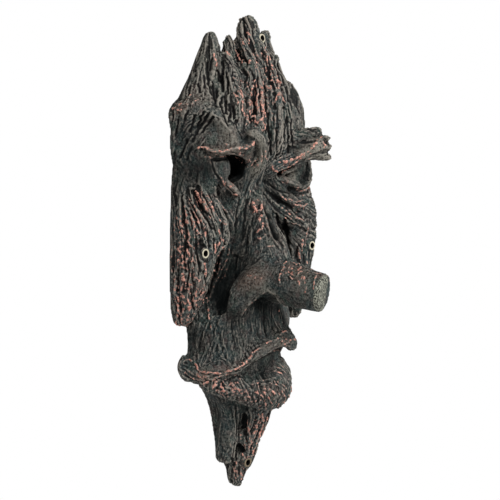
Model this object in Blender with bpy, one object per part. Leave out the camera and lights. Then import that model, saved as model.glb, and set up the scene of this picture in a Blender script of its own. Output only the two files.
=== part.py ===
"""Tree face wall plaque: one casting of bark, branch stub nose, lips and beard on a flat back.

Blender 4.5, metres, +Z up. The plaque faces -Y, its flat back lies on the wall plane Y = 0, and the
origin is the middle of that back. The carving is laid out on a grid that is GRID_WIDTH units across,
GRID_DEPTH out from the wall and GRID_HEIGHT up from the tip of the beard.
"""

import math

import bmesh
import bpy
from mathutils import Matrix, Vector

# Driving dimensions
HEIGHT = 0.420
WIDTH = 0.168
DEPTH = 0.108
SCREW_HOLE_RADIUS = 0.0025
SCREW_RIM_RADIUS = 0.0042
SCREW_RIM_PROUD = 0.0010
SCREW_RIM_ROOT = 0.0040

# The carving grid, in units that are a millimetre at the sizes above
GRID_HEIGHT = 420.0
GRID_WIDTH = 168.0
GRID_DEPTH = 108.0

# Fineness of the fused surface
VOXEL = 0.0017
SMOOTHING_ROUNDS = 5
KEPT_SHARE_OF_FACES = 0.0605

BARK_COLOUR = (0.045, 0.046, 0.040, 1.0)


def spot(across, out, up):
    """A point of the carving grid, in metres."""
    return Vector((
        across / GRID_WIDTH * WIDTH,
        -out / GRID_DEPTH * DEPTH,
        (up / GRID_HEIGHT - 0.5) * HEIGHT,
    ))


def between(a, b, c, d, t):
    """The smooth curve through b and c at share t of the way, with a and d as its neighbours."""
    return 0.5 * (
        2 * b + (c - a) * t + (2 * a - 5 * b + 4 * c - d) * t**2 + (3 * b - a - 3 * c + d) * t**3
    )


def smooth_stations(stations, steps):
    """The stations with steps - 1 more of them in each gap, on a smooth curve."""
    padded = [stations[0], *stations, stations[-1]]
    finer = []
    for i in range(len(stations) - 1):
        for step in range(steps):
            four = zip(*padded[i : i + 4])
            finer.append(tuple(between(*values, step / steps) for values in four))
    finer.append(stations[-1])
    return finer


def side_and_face(forward):
    """The directions across and out of a strand that runs along forward."""
    outward = Vector((0, 1, 0)) if abs(forward.y) < 0.9 else Vector((0, 0, 1))
    face = (outward - outward.dot(forward) * forward).normalized()
    return forward.cross(face), face


def rounded(angle, squareness):
    """A point of the unit superellipse: a circle at squareness 2, nearly a square at 5."""
    c, s = math.cos(angle), math.sin(angle)
    power = 2 / squareness
    return math.copysign(abs(c) ** power, c), math.copysign(abs(s) ** power, s)


def strand(clay, stations, sides=16, steps=4, squareness=2.0, level=False):
    """Adds one closed limb of bark to clay.

    Each station is across, out, up, half width, half thickness and roll in degrees, in grid units.
    The half thickness is the one that faces out from the wall. A positive roll lifts the right side
    of an upward strand. The rings of a level strand stay flat however it leans.
    """
    path = smooth_stations(stations, steps)
    rings = []
    for i, (across, out, up, half_width, half_thick, roll) in enumerate(path):
        before = Vector(path[max(i - 1, 0)][:3])
        after = Vector(path[min(i + 1, len(path) - 1)][:3])
        forward = Vector((0, 0, 1)) if level else (after - before).normalized()
        side, face = side_and_face(forward)
        turn = math.radians(roll)
        wide = side * math.cos(turn) + face * math.sin(turn)
        thick = face * math.cos(turn) - side * math.sin(turn)
        ring = []
        for k in range(sides):
            w, t = rounded(2 * math.pi * k / sides, squareness)
            ring.append(Vector((across, out, up)) + wide * (w * half_width) + thick * (t * half_thick))
        rings.append([clay.verts.new(spot(*point)) for point in ring])
    for low, high in zip(rings, rings[1:]):
        for k in range(sides):
            n = (k + 1) % sides
            clay.faces.new((low[k], low[n], high[n], high[k]))
    clay.faces.new(list(reversed(rings[0])))
    clay.faces.new(rings[-1])


def draped(clay, rows, root_thickness, edge_thickness, steps=4):
    """Adds a curved sheet of bark, such as a brow or a lip, as one closed leaf.

    Each row runs from the sheet's root to its free edge as points of across, out and up, in grid
    units, and the rows follow one another towards the far side. The points lie on the front.
    """
    rows = [smooth_stations(row, steps) for row in rows]
    columns = [smooth_stations(column, steps) for column in zip(*rows)]
    front = [[Vector(point) for point in row] for row in zip(*columns)]
    last_row, last_point = len(front) - 1, len(front[0]) - 1
    back = []
    for i, row in enumerate(front):
        behind = []
        for j, point in enumerate(row):
            along = front[min(i + 1, last_row)][j] - front[max(i - 1, 0)][j]
            down = row[min(j + 1, last_point)] - row[max(j - 1, 0)]
            share = j / last_point
            thickness = root_thickness * (1 - share) + edge_thickness * share
            behind.append(point - along.cross(down).normalized() * thickness)
        back.append(behind)
    front = [[clay.verts.new(spot(*point)) for point in row] for row in front]
    back = [[clay.verts.new(spot(*point)) for point in row] for row in back]
    for face, other in ((front, front), (back, back)):
        for low, high in zip(face, other[1:]):
            for j in range(last_point):
                clay.faces.new((low[j], low[j + 1], high[j + 1], high[j]))
    for i in range(last_row):
        for j in (0, last_point):
            clay.faces.new((front[i][j], front[i + 1][j], back[i + 1][j], back[i][j]))
    for j in range(last_point):
        for i in (0, last_row):
            clay.faces.new((front[i][j], front[i][j + 1], back[i][j + 1], back[i][j]))


def mirrored(stations):
    """The same strand on the other side of the face."""
    return [(-across, out, up, wide, thick, -roll) for across, out, up, wide, thick, roll in stations]


def body_of(name, clay):
    """A new object from the clay, with every limb facing outwards."""
    bmesh.ops.recalc_face_normals(clay, faces=clay.faces)
    mesh = bpy.data.meshes.new(name)
    clay.to_mesh(mesh)
    clay.free()
    body = bpy.data.objects.new(name, mesh)
    bpy.context.scene.collection.objects.link(body)
    return body


def fused(body):
    """Melts the overlapping limbs of a body into one skin."""
    melt = body.modifiers.new("One skin", "REMESH")
    melt.mode = "VOXEL"
    melt.voxel_size = VOXEL
    melt.adaptivity = 0.0


def carved(body, cutter, operation="DIFFERENCE"):
    """Takes the cutter out of the body, or adds it."""
    cutter.hide_render = True
    cutter.display_type = "WIRE"
    cut = body.modifiers.new(cutter.name, "BOOLEAN")
    cut.operation = operation
    cut.solver = "EXACT"
    cut.object = cutter


for old in list(bpy.data.objects):
    bpy.data.objects.remove(old, do_unlink=True)

# The bark body, from the beard up to the forehead
clay = bmesh.new()
strand(clay, [
    (-3, 0, 14, 6, 12, 0),
    (-3, 0, 30, 18, 17, 0),
    (-1, 0, 50, 26, 25, 0),
    (0, 0, 68, 31, 35, 0),
    (-1, 0, 84, 37, 42, 0),
    (-4, 0, 100, 46, 42, 0),
    (-7, 0, 118, 51, 38, 0),
    (-3, 0, 140, 57, 34, 0),
    (0, 0, 165, 68, 27, 0),
    (0, 0, 195, 77, 24, 0),
    (0, 0, 225, 80, 25, 0),
    (0, 0, 255, 79, 30, 0),
    (0, 0, 280, 76, 36, 0),
    (0, 0, 302, 77, 43, 0),
    (-1, 0, 322, 80, 45, 0),
    (-4, 0, 334, 78, 43, 0),
    (-4, 0, 346, 64, 39, 0),
    (-2, 0, 358, 50, 36, 0),
    (0, 0, 372, 34, 30, 0),
    (6, 0, 386, 18, 22, 0),
    (8, 0, 396, 8, 12, 0),
], sides=40, level=True)
strand(clay, [
    (-5, 0, 96, 43, 38, 0),
    (-8, 0, 112, 49, 40, 0),
    (-6, 0, 126, 53, 42, 0),
    (-2, 0, 142, 56, 44, 0),
    (0, 0, 156, 52, 44, 0),
    (0, 0, 170, 44, 42, 0),
    (0, 0, 184, 34, 40, 0),
], sides=32, squareness=2.3, level=True)

# Forehead boards, each a tapering blade that ends in a peak, with folds between them
strand(clay, [
    (-64, -6, 282, 12, 14, 10),
    (-65, -1, 302, 16, 16, 16),
    (-64, 2, 322, 15, 15, 20),
    (-56, 6, 341, 15, 16, 24),
    (-47, 8, 360, 13, 14, 26),
    (-41, 9, 381, 10, 11, 24),
    (-37, 7, 394, 7, 7.5, 16),
    (-35, 5, 402, 3.5, 4.5, 0),
], squareness=1.8)
strand(clay, [
    (-30, 18, 334, 11, 16, 8),
    (-24, 15, 356, 10, 13, 6),
    (-18, 10, 376, 8, 9, 0),
    (-14, 7, 391, 5, 6, 0),
    (-12.5, 5, 401, 2, 3, 0),
])
strand(clay, [
    (2, 22, 300, 34, 24, 0),
    (3, 22, 330, 31, 22, 0),
    (5, 19, 360, 25, 17, 2),
    (8, 13, 384, 18, 12, 4),
    (9, 10, 399, 14, 9, 4),
    (9, 8, 410, 11, 7, 2),
    (7, 8, 417.5, 6.5, 4.5, 0),
], squareness=2.5)
strand(clay, [
    (28, 18, 340, 12, 14, -6),
    (28, 16, 366, 9, 12, -8),
    (28.5, 12, 388, 7.5, 9, -8),
    (29, 11, 401, 5.5, 6, -6),
    (28.5, 11, 406, 2.5, 4, 0),
])
strand(clay, mirrored([
    (-64, -6, 280, 12, 14, 8),
    (-66, 1, 298, 15, 16, 12),
    (-66, 5, 318, 16, 16, 14),
    (-63, 7, 336, 16, 14, 16),
    (-57, 8, 349, 14, 11, 16),
    (-50, 8, 359, 9, 7, 14),
]), squareness=2.5)
strand(clay, [
    (-30, 20, 384, 4, 3, 0),
    (-33, 27, 362, 7, 8, 0),
    (-36, 33, 340, 9, 11, 0),
    (-38, 34, 316, 9, 10, 0),
], squareness=1.4)
strand(clay, [
    (-7, 18, 396, 4, 3, 0),
    (-10, 29, 372, 7, 8, 0),
    (-14, 37, 346, 9, 11, 0),
    (-17, 39, 316, 9, 11, 0),
], squareness=1.4)
strand(clay, [
    (11, 15, 404, 3, 2, 0),
    (10, 27, 382, 7, 6, 0),
    (7, 37, 352, 9, 11, 0),
    (5, 42, 318, 9, 11, 0),
    (2, 34, 288, 6, 8, 0),
], squareness=1.4)
strand(clay, [
    (26, 22, 386, 4, 4, 0),
    (28, 30, 360, 7, 8, 0),
    (28, 36, 334, 9, 10, 0),
    (24, 37, 306, 8, 8, 0),
], squareness=1.4)

# The rim of the near temple, which sweeps down from the outline to the brow
strand(clay, [
    (-76, 3, 336, 5, 5, 0),
    (-69, 12, 337, 6, 7, 0),
    (-61, 20, 334, 7, 8, 0),
    (-55, 27, 329, 8, 8, 0),
    (-50, 33, 322, 8, 8, 0),
    (-47, 38, 314, 8, 8, 0),
    (-47, 42, 305, 7, 7, 0),
])

# Cheek plates with a free inner edge and a hanging tip
strand(clay, [
    (-72.5, 2, 149, 4, 9, 6),
    (-71.5, 4, 158, 8, 13, 10),
    (-69.5, 5, 170, 11, 17, 14),
    (-66.5, 7, 184, 14.5, 19, 16),
    (-63.5, 9, 200, 18.5, 20, 16),
    (-61.5, 10, 216, 21, 20, 15),
    (-60.5, 10, 234, 22, 20, 14),
    (-60, 9, 252, 21.5, 19, 12),
    (-60, 6, 268, 20, 18, 8),
    (-60, 0, 284, 18, 16, 4),
], squareness=2.6)
strand(clay, [
    (75, 4, 144.5, 4, 7, -6),
    (74, 7, 155, 8, 10, -12),
    (71, 10, 172, 11.5, 13, -16),
    (67, 13, 188, 15, 15, -18),
    (64, 15, 206, 19, 16, -16),
    (62, 17, 226, 22.5, 16, -14),
    (61, 17, 244, 23, 15, -12),
    (60, 13, 262, 22, 13, -10),
    (60, 5, 282, 18, 12, -6),
], squareness=2.6)

# Deep folds down the near cheek
strand(clay, [
    (-75, 11, 268, 3, 4, 0),
    (-72, 20, 248, 5, 6, 0),
    (-67, 25, 228, 5, 6, 0),
    (-63, 26, 210, 4, 5, 0),
], squareness=1.4)
strand(clay, [
    (-66, 18, 270, 3, 4, 0),
    (-61, 26, 249, 5, 6, 0),
    (-55, 30, 229, 5, 6, 0),
    (-52, 29, 212, 4, 5, 0),
], squareness=1.4)
strand(clay, [
    (-55, 23, 264, 3, 4, 0),
    (-49, 29, 246, 4, 5, 0),
    (-44, 31, 230, 4, 5, 0),
    (-44, 29, 214, 3, 4, 0),
], squareness=1.4)

# Folds under the far eye
strand(clay, [
    (10, 26, 272, 5, 6, 0),
    (26, 29, 261, 7, 8, 0),
    (44, 31, 251, 8, 9, 0),
    (62, 28, 243, 8, 9, 0),
    (74, 18, 238, 7, 8, 0),
    (77, 7, 234, 4, 5, 0),
], squareness=1.5)
strand(clay, [
    (12, 23, 258, 5, 7, 0),
    (26, 26, 246, 6, 8, 0),
    (42, 30, 237, 7, 8, 0),
    (60, 29, 230, 7, 8, 0),
    (72, 21, 225, 6, 7, 0),
    (76, 12, 222, 4, 4, 0),
], squareness=1.5)
strand(clay, [
    (14, 20, 246, 4, 6, 0),
    (26, 22, 230, 5, 8, 0),
    (36, 26, 214, 5, 8, 0),
    (42, 26, 198, 4, 6, 0),
], squareness=1.5)

# Chin board and the strands of the beard
strand(clay, [
    (-20, 6, 23, 5, 7, 20),
    (-21, 9, 31, 8, 9, 24),
    (-20, 13, 50, 11.5, 10, 26),
    (-21, 17, 70, 13, 11, 26),
    (-28, 20, 88, 16, 12, 26),
    (-40, 20, 104, 20, 14, 26),
], squareness=2.5)
strand(clay, [
    (-4, 4, -1, 4, 6, 0),
    (-4, 6, 6, 7, 9, 0),
    (-4, 8, 20, 9, 12, 0),
    (-4, 14, 40, 12, 14, 0),
    (-4, 22, 62, 15, 16, 0),
    (-4, 30, 80, 18, 18, 0),
])
strand(clay, [
    (0, 14, 18, 5, 6, 0),
    (0, 20, 32, 5, 7, 0),
    (1, 26, 48, 5, 7, 0),
    (2, 32, 62, 6, 8, 0),
    (0, 38, 78, 8, 8, 0),
])
strand(clay, [
    (-9, 14, 20, 4, 5, 0),
    (-10, 20, 36, 4, 6, 0),
    (-12, 26, 52, 4.5, 6, 0),
    (-14, 32, 70, 5, 7, 0),
])

# Hollows that are cut back before the lids, wings and lips are laid over them
hollows = bmesh.new()
SOCKET = [
    (-68, 30, 281, 5, 8, 0),
    (-60, 30, 283, 11, 18, 0),
    (-46, 28, 285, 15, 22, 0),
    (-31, 27, 285, 14, 20, 0),
    (-20, 30, 283, 7, 10, 0),
]
strand(hollows, SOCKET)
strand(hollows, mirrored(SOCKET))
WING_HOLLOW = [
    (-40, 34, 216, 3, 8, 0),
    (-43, 28, 202, 5, 16, 0),
    (-48, 24, 184, 8, 18, 0),
    (-52, 24, 166, 9, 16, 0),
    (-54, 28, 150, 5, 8, 0),
]
strand(hollows, WING_HOLLOW)
strand(hollows, mirrored(WING_HOLLOW))
strand(hollows, [
    (-17, 36, 66, 2, 6, 0),
    (-17, 31, 57, 3, 9, 0),
    (-16, 26, 47, 2, 6, 0),
])
strand(hollows, [
    (-15, 24, 40, 2, 5, 0),
    (-14, 20, 34, 3.5, 7, 0),
    (-13, 17, 28, 2, 5, 0),
])

TEMPLE_HOLLOW = [
    (-84, 18, 320, 8, 8, 0),
    (-75, 28, 320, 12, 12, 0),
    (-67, 35, 317, 12, 12, 0),
    (-61, 38, 313, 8, 8, 0),
]
strand(hollows, TEMPLE_HOLLOW)

carved_body = body_of("Bark body", clay)
fused(carved_body)
carved(carved_body, body_of("Hollows", hollows))
bpy.context.view_layer.update()
shape = carved_body.evaluated_get(bpy.context.evaluated_depsgraph_get())
clay = bmesh.new()
clay.from_mesh(shape.data)

# Eyeballs
EYE = [
    (-50, 7, 284, 8, 9, 0),
    (-50, 12, 284, 14, 14, 0),
    (-50, 21, 284, 16, 16, 0),
    (-50, 31, 284, 13, 13, 0),
    (-50, 36, 284, 6, 6, 0),
]
strand(clay, EYE)
strand(clay, mirrored(EYE))

# The near brow: a thin visor, and under its inner half a curtain that ends in a scroll by the nose
draped(clay, [
    [(-77, 8, 312), (-76, 10, 306), (-71, 13, 300)],
    [(-72, 19, 314), (-71, 22, 307), (-67.5, 24, 300.5)],
    [(-67, 22, 316), (-66, 27, 308), (-67, 33.5, 299.5)],
    [(-60, 27, 318), (-60, 33, 308), (-63, 42, 297.5)],
    [(-52, 33, 320), (-53, 40, 309), (-57, 46, 298.5)],
    [(-45, 37, 321), (-46, 43, 311), (-49.5, 50, 301.5)],
    [(-37, 39, 321), (-37, 43, 311), (-38, 51, 302.5)],
    [(-31, 40, 321), (-30, 43, 312), (-29.5, 51, 304.5)],
], root_thickness=7, edge_thickness=7)
draped(clay, [
    [(-57, 46, 299), (-56, 45.5, 297), (-54, 44, 295)],
    [(-50, 50, 302), (-49, 48, 298), (-46, 45, 294)],
    [(-41, 51, 302.5), (-37, 47, 297), (-33, 43, 291.5)],
    [(-32, 51, 303.5), (-25, 44, 296), (-21, 38, 286.5)],
    [(-25, 48, 308), (-18, 40, 296), (-14, 32, 279.5)],
    [(-17, 44, 308), (-11, 38, 294), (-9, 28, 273)],
], root_thickness=6, edge_thickness=5)
strand(clay, [
    (-31, 46, 313, 3, 3, 0),
    (-26, 48, 315, 3.5, 3.5, 0),
    (-20, 48, 311.5, 4, 4, 0),
    (-14, 47, 304.5, 4.5, 4.5, 0),
    (-11, 45, 297, 4.5, 4.5, 0),
    (-8.5, 40, 287.5, 4.5, 4.5, 0),
    (-9, 33, 277.5, 4.5, 4.5, 0),
    (-13, 27, 271, 3.5, 3.5, 0),
])

# The far brow
strand(clay, [
    (14, 33, 296, 10, 7, 12),
    (30, 39, 303, 13, 6, 30),
    (46, 44, 308, 14, 6, 36),
    (58, 45, 309, 12, 6, 30),
    (66, 30, 308, 11, 7, 20),
    (72, 13, 306, 9, 7, 0),
])

strand(clay, [
    (2, 31, 279, 4, 5, 0),
    (13, 37, 285, 5.5, 5, 5),
    (25, 43, 290, 6.5, 5, 10),
    (37, 49, 295, 7.5, 5, 10),
    (48, 54, 299, 9.5, 5, 5),
    (55, 57, 300, 11.5, 4.5, 0),
    (58, 59, 300, 10, 3, 0),
], squareness=2.6)
strand(clay, [
    (52, 56, 305, 4, 4, 0),
    (57, 60, 306, 3.5, 3.5, 0),
    (60, 62, 306, 2, 2, 0),
])
strand(clay, [
    (53, 57, 293, 4, 4, 0),
    (58, 61, 293, 4, 4, 0),
    (62, 62, 294, 2, 2.5, 0),
])

# Lids: the near one is a smooth cheek that covers the outer part of the eye, with a twig below
draped(clay, [
    [(-78, 4, 308), (-78, 5, 290), (-78, 4, 270), (-77, -2, 248)],
    [(-75, 16, 306), (-75, 18, 290), (-74, 17, 272), (-71, 8, 246)],
    [(-70, 25, 304), (-70, 27, 290), (-67.5, 27, 274), (-61, 17, 248)],
    [(-65.5, 31, 300), (-65, 32, 290), (-62, 33.5, 277), (-53, 24, 252)],
    [(-63, 33, 298), (-62, 35, 288), (-58.5, 36.5, 279.5), (-50, 27, 261)],
], root_thickness=8, edge_thickness=8)
strand(clay, [
    (-55, 35, 277, 3, 3, 0),
    (-46, 37, 270, 3.5, 3.5, 0),
    (-38, 36.5, 265, 4, 4, 0),
    (-30, 33, 260, 4, 4, 0),
])
strand(clay, [
    (26, 28, 277, 3, 3, 0),
    (38, 33, 271, 4, 4, 0),
    (52, 34, 266, 4, 4, 0),
    (64, 32, 270, 4, 4.5, 0),
    (71, 28, 279, 4, 4.5, 0),
    (72, 23, 290, 4, 5, 0),
    (70, 18, 300, 4, 5, 0),
])

# Nose: a narrow ridge, two wings and the sawn branch stub
strand(clay, [
    (0, 10, 296, 9, 24, 0),
    (0, 9, 274, 13, 25, 0),
    (0, 9, 252, 20, 29, 0),
    (0, 11, 236, 26, 33, 0),
    (0, 13, 220, 31, 40, 0),
    (0, 17, 205, 34, 46, 0),
    (0, 20, 190, 34, 46, 0),
    (0, 20, 176, 28, 36, 0),
], sides=24, squareness=1.5)
WING = [
    (-2, 44, 192, 16, 18, 0),
    (-15, 44, 189, 15, 17, 0),
    (-26, 41, 182, 14, 16, 0),
    (-34, 36, 172, 12, 14, 0),
    (-37, 31, 161, 8, 10, 0),
]
strand(clay, WING)
strand(clay, mirrored(WING[:3]) + [(31, 32, 172, 9, 10, 0)])
strand(clay, [
    (-2, 38, 188, 19, 20, 0),
    (-1, 58, 186, 19.5, 20, 0),
    (1, 75, 182, 18.5, 19, 0),
    (4, 88, 179, 17.5, 17.5, 0),
    (8, 99, 177, 17, 17, 0),
], sides=24)

# Upper lip: the muzzle flares like a bell into a thin edge that is thicker at both ends
draped(clay, [
    [(-52, 1, 166), (-58, 2, 142), (-63, 3, 127), (-71, 3, 118)],
    [(-50, 12, 166), (-57, 14, 142), (-61, 15, 127), (-69.5, 13, 118)],
    [(-47, 20, 168), (-55.5, 22, 142), (-59, 23, 125), (-68, 20, 114)],
    [(-44, 27, 169), (-52.5, 30, 143), (-57, 31, 123), (-64.5, 27, 109.5)],
    [(-39, 33, 170), (-47.5, 36.5, 144), (-52.5, 38, 123), (-61, 35, 108.5)],
    [(-32, 38, 171), (-38, 42, 146), (-42, 45, 125), (-50, 44, 110.5)],
    [(-25, 41, 172), (-28, 45, 148), (-31, 47, 131), (-38, 49, 116.5)],
    [(-17, 42, 174), (-19, 45.5, 152), (-22, 49, 137), (-27, 55, 127)],
    [(-8, 43, 175), (-9, 46, 155), (-10, 49, 142), (-12, 57, 135)],
    [(4, 43, 175), (4, 46, 156), (4, 49, 146), (4, 56, 140)],
    [(15, 41, 173), (17, 44, 155), (18, 47, 144), (20, 54, 137)],
    [(26, 34, 170), (28, 37, 151), (30, 41, 140), (33, 46, 130)],
    [(38, 22, 168), (41, 24, 147), (43, 24, 135), (45, 22, 127)],
    [(46, 4, 166), (50, 4, 147), (52, 4, 135), (53, 3, 127)],
], root_thickness=9, edge_thickness=4)
strand(clay, [
    (-66, 1, 110, 7, 7, 0),
    (-65.5, 9, 109.5, 7, 7, 0),
    (-65, 18, 108, 5.5, 5.5, 0),
    (-61.5, 27, 105.5, 4.5, 4.5, 0),
    (-54, 36, 105.5, 3.5, 3.5, 0),
    (-44, 43, 110, 2.5, 3, 0),
    (-33, 49, 118, 2.5, 3, 0),
    (-24, 53, 123.5, 4, 3.5, 0),
    (-12, 54.5, 129.5, 5.5, 4, 0),
    (2, 54, 133, 6.5, 4, 0),
    (16, 52, 131, 7, 4.5, 0),
    (28, 45, 127, 7, 5, 0),
    (37, 34, 127, 4.5, 4, 0),
    (45, 20, 127, 4, 4, 0),
    (52, 5, 127, 4, 4, 0),
])

# The wall of the mouth, which shows between the lips on the far side
strand(clay, [
    (-60, 6, 103, 6, 6, 0),
    (-54, 20, 103, 7, 7, 0),
    (-43, 32, 106, 8, 8, 0),
    (-30, 38, 110, 9, 10, 0),
    (-14, 40, 116, 9, 11, 0),
    (2, 37, 120, 9, 10, 0),
    (18, 28, 121, 9, 9, 0),
    (31, 16, 120, 9, 8, 0),
    (42, 4, 118, 8, 8, 0),
])

# Lower lip, a thick pout
strand(clay, [
    (-66, 20, 99, 4, 5, 0),
    (-56, 30, 97, 8, 7, 0),
    (-42, 39, 94, 11, 10, 0),
    (-24, 46, 91, 15, 13, 0),
    (-7, 50, 90, 18, 16, 0),
    (9, 42, 96, 18, 15, 0),
    (23, 30, 103, 14, 12, 0),
    (34, 15, 108, 10, 9, 0),
    (40, 3, 110, 7, 7, 0),
])

# Hollows that are cut last: under each nostril wing, and between it and the cheek
UNDER_WING = [
    (-20, 46, 165, 4, 5, 0),
    (-22, 50, 164, 10, 11, 0),
    (-23, 58, 164, 12, 13, 0),
    (-22, 72, 164, 12, 13, 0),
    (-20, 84, 163, 8, 8, 0),
]
BESIDE_WING = [
    (-38, 24, 222, 2, 8, -48),
    (-40, 23, 206, 6, 15, -48),
    (-43, 22, 190, 9, 19, -48),
    (-45, 23, 174, 9, 19, -48),
    (-45, 24, 165, 7, 13, -48),
    (-46, 25, 157, 3, 6, -48),
]
late_hollows = bmesh.new()
for hollow in (UNDER_WING, BESIDE_WING):
    strand(late_hollows, hollow)
    strand(late_hollows, mirrored(hollow))

plaque = body_of("tree_face", clay)
fused(plaque)
carved(plaque, body_of("Nose hollows", late_hollows))
fused(plaque)
soften = plaque.modifiers.new("Softened", "SMOOTH")
soften.factor = 0.5
soften.iterations = SMOOTHING_ROUNDS
thin = plaque.modifiers.new("Fewer faces", "DECIMATE")
thin.ratio = KEPT_SHARE_OF_FACES
thin.use_collapse_triangulate = True


def cylinder(name, radius, start, length, sides):
    """A cylinder from the point start, running out from the wall."""
    shape = bmesh.new()
    place = Matrix.Translation(start + Vector((0, -length / 2, 0))) @ Matrix.Rotation(math.pi / 2, 4, "X")
    bmesh.ops.create_cone(
        shape, cap_ends=True, segments=sides, radius1=radius, radius2=radius, depth=length, matrix=place
    )
    return body_of(name, shape)


# The flat back, and the four screw holes with their raised rims
SCREWS = [
    ("Forehead", 14.5, 397.5, 21),
    ("Near cheek", -68, 212, 30),
    ("Far cheek", 70, 212, 32.5),
    ("Chin", -5, 22, 21.5),
]
wall = bmesh.new()
bmesh.ops.create_cube(
    wall,
    size=1,
    matrix=Matrix.Translation((0, 0.5 * DEPTH, 0)) @ Matrix.Diagonal((2 * WIDTH, DEPTH, 2 * HEIGHT, 1)),
)
carved(plaque, body_of("Wall", wall))
for name, across, up, out in SCREWS:
    start = spot(across, 0, up)
    rim_length = out / GRID_DEPTH * DEPTH + SCREW_RIM_PROUD - SCREW_RIM_ROOT
    rim = cylinder(name + " rim", SCREW_RIM_RADIUS, start - Vector((0, SCREW_RIM_ROOT, 0)), rim_length, 20)
    carved(plaque, rim, "UNION")
for name, across, up, out in SCREWS:
    start = spot(across, 0, up) + Vector((0, DEPTH, 0))
    carved(plaque, cylinder(name + " hole", SCREW_HOLE_RADIUS, start, 3 * DEPTH, 16))

bark = bpy.data.materials.new("Painted bark")
bark.use_nodes = True
shader = bark.node_tree.nodes["Principled BSDF"]
shader.inputs["Base Color"].default_value = BARK_COLOUR
shader.inputs["Roughness"].default_value = 0.7
shader.inputs["Metallic"].default_value = 0.1
plaque.data.materials.append(bark)
bpy.data.objects.remove(carved_body, do_unlink=True)
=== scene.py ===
import math

import bpy
import numpy as np
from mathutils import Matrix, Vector, kdtree
from mathutils.bvhtree import BVHTree


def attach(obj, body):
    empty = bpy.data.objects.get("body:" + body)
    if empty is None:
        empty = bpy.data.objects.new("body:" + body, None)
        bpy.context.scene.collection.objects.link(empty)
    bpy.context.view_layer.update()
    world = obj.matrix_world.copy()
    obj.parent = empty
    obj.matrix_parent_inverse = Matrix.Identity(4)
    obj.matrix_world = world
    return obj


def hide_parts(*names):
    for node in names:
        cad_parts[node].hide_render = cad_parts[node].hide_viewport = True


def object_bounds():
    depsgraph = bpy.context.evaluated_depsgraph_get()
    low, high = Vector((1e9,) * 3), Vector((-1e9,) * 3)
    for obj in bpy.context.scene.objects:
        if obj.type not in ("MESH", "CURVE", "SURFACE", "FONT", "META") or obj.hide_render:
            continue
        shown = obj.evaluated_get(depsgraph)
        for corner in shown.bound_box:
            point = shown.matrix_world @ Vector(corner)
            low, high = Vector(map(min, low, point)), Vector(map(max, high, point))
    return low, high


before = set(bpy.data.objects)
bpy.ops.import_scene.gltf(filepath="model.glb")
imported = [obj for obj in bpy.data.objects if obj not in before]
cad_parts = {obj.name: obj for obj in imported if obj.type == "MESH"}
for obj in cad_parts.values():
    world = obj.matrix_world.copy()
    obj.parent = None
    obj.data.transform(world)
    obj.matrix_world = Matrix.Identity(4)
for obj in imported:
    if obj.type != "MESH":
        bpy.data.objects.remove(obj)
cad_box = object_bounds()
bpy.ops.object.select_all(action="DESELECT")

# The camera
# It stands where the photograph was taken from: to the plaque's own right and a little above it. The
# creases below are traced through its lens, so it comes first.
CAMERA_AZIMUTH = math.radians(-48)
CAMERA_ELEVATION = math.radians(4)
CAMERA_DISTANCE = 1.5
FIELD_WIDTH = 0.442
SENSOR_WIDTH = 36
PICTURE_PIXELS = 500
LOOKED_AT = Vector((0, -0.020, 0.001))

lens = bpy.data.cameras.new("Camera")
lens.sensor_width = SENSOR_WIDTH
lens.lens = SENSOR_WIDTH * CAMERA_DISTANCE / FIELD_WIDTH
camera = bpy.data.objects.new("Camera", lens)
bpy.context.scene.collection.objects.link(camera)
towards = Vector((
    math.sin(CAMERA_AZIMUTH) * math.cos(CAMERA_ELEVATION),
    -math.cos(CAMERA_AZIMUTH) * math.cos(CAMERA_ELEVATION),
    math.sin(CAMERA_ELEVATION),
))
camera.location = LOOKED_AT + towards * CAMERA_DISTANCE
camera_turn = (-towards).to_track_quat("-Z", "Y")
camera.rotation_euler = camera_turn.to_euler()
bpy.context.scene.camera = camera

# The casting
# One piece of cast stone resin with a flat back, carved as bark before it was moulded. Its main forms
# come from the solid; this section lays on the thinner rolls, lids and lip edges and melts them in.
MM = 0.001
MIDDLE_HEIGHT = 210
WELD_GAP = 0.01 * MM

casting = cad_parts["tree_face"].copy()
casting.data = casting.data.copy()
casting.name = "tree_face_casting"
bpy.context.scene.collection.objects.link(casting)
cad_low, cad_high = (Vector(corner) for corner in cad_box)


def place(across, out, up):
    """A point in metres: across the face, out from the wall, and up from the tip of the beard."""
    return Vector((across * MM, -out * MM, (up - MIDDLE_HEIGHT) * MM))


def lay_roll(name, points):
    """Adds a thin roll of clay that runs through points of across, out, up and radius."""
    curve = bpy.data.curves.new(name, "CURVE")
    curve.dimensions = "3D"
    curve.bevel_depth = MM
    curve.bevel_resolution = 3
    curve.use_fill_caps = True
    curve.resolution_u = 6
    spline = curve.splines.new("NURBS")
    spline.points.add(len(points) - 1)
    spline.order_u = 4
    spline.use_endpoint_u = True
    for point, (across, out, up, radius) in zip(spline.points, points):
        point.co = (*place(across, out, up), 1)
        point.radius = radius
    roll = bpy.data.objects.new(name, curve)
    bpy.context.scene.collection.objects.link(roll)
    return roll


def select_only(*things):
    """Selects these objects and makes the first one active."""
    bpy.ops.object.select_all(action="DESELECT")
    for thing in things:
        thing.select_set(True)
    bpy.context.view_layer.objects.active = things[0]


def melt_into(body, rolls):
    """Joins the rolls to the body as mesh."""
    select_only(*rolls)
    bpy.ops.object.convert(target="MESH")
    select_only(body, *rolls)
    bpy.ops.object.join()


def finish_modifiers(body):
    """Applies every modifier on the body."""
    select_only(body)
    for modifier in list(body.modifiers):
        bpy.ops.object.modifier_apply(modifier=modifier.name)


select_only(casting)
bpy.ops.object.mode_set(mode="EDIT")
bpy.ops.mesh.select_all(action="SELECT")
bpy.ops.mesh.remove_doubles(threshold=WELD_GAP)
bpy.ops.object.mode_set(mode="OBJECT")

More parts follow.
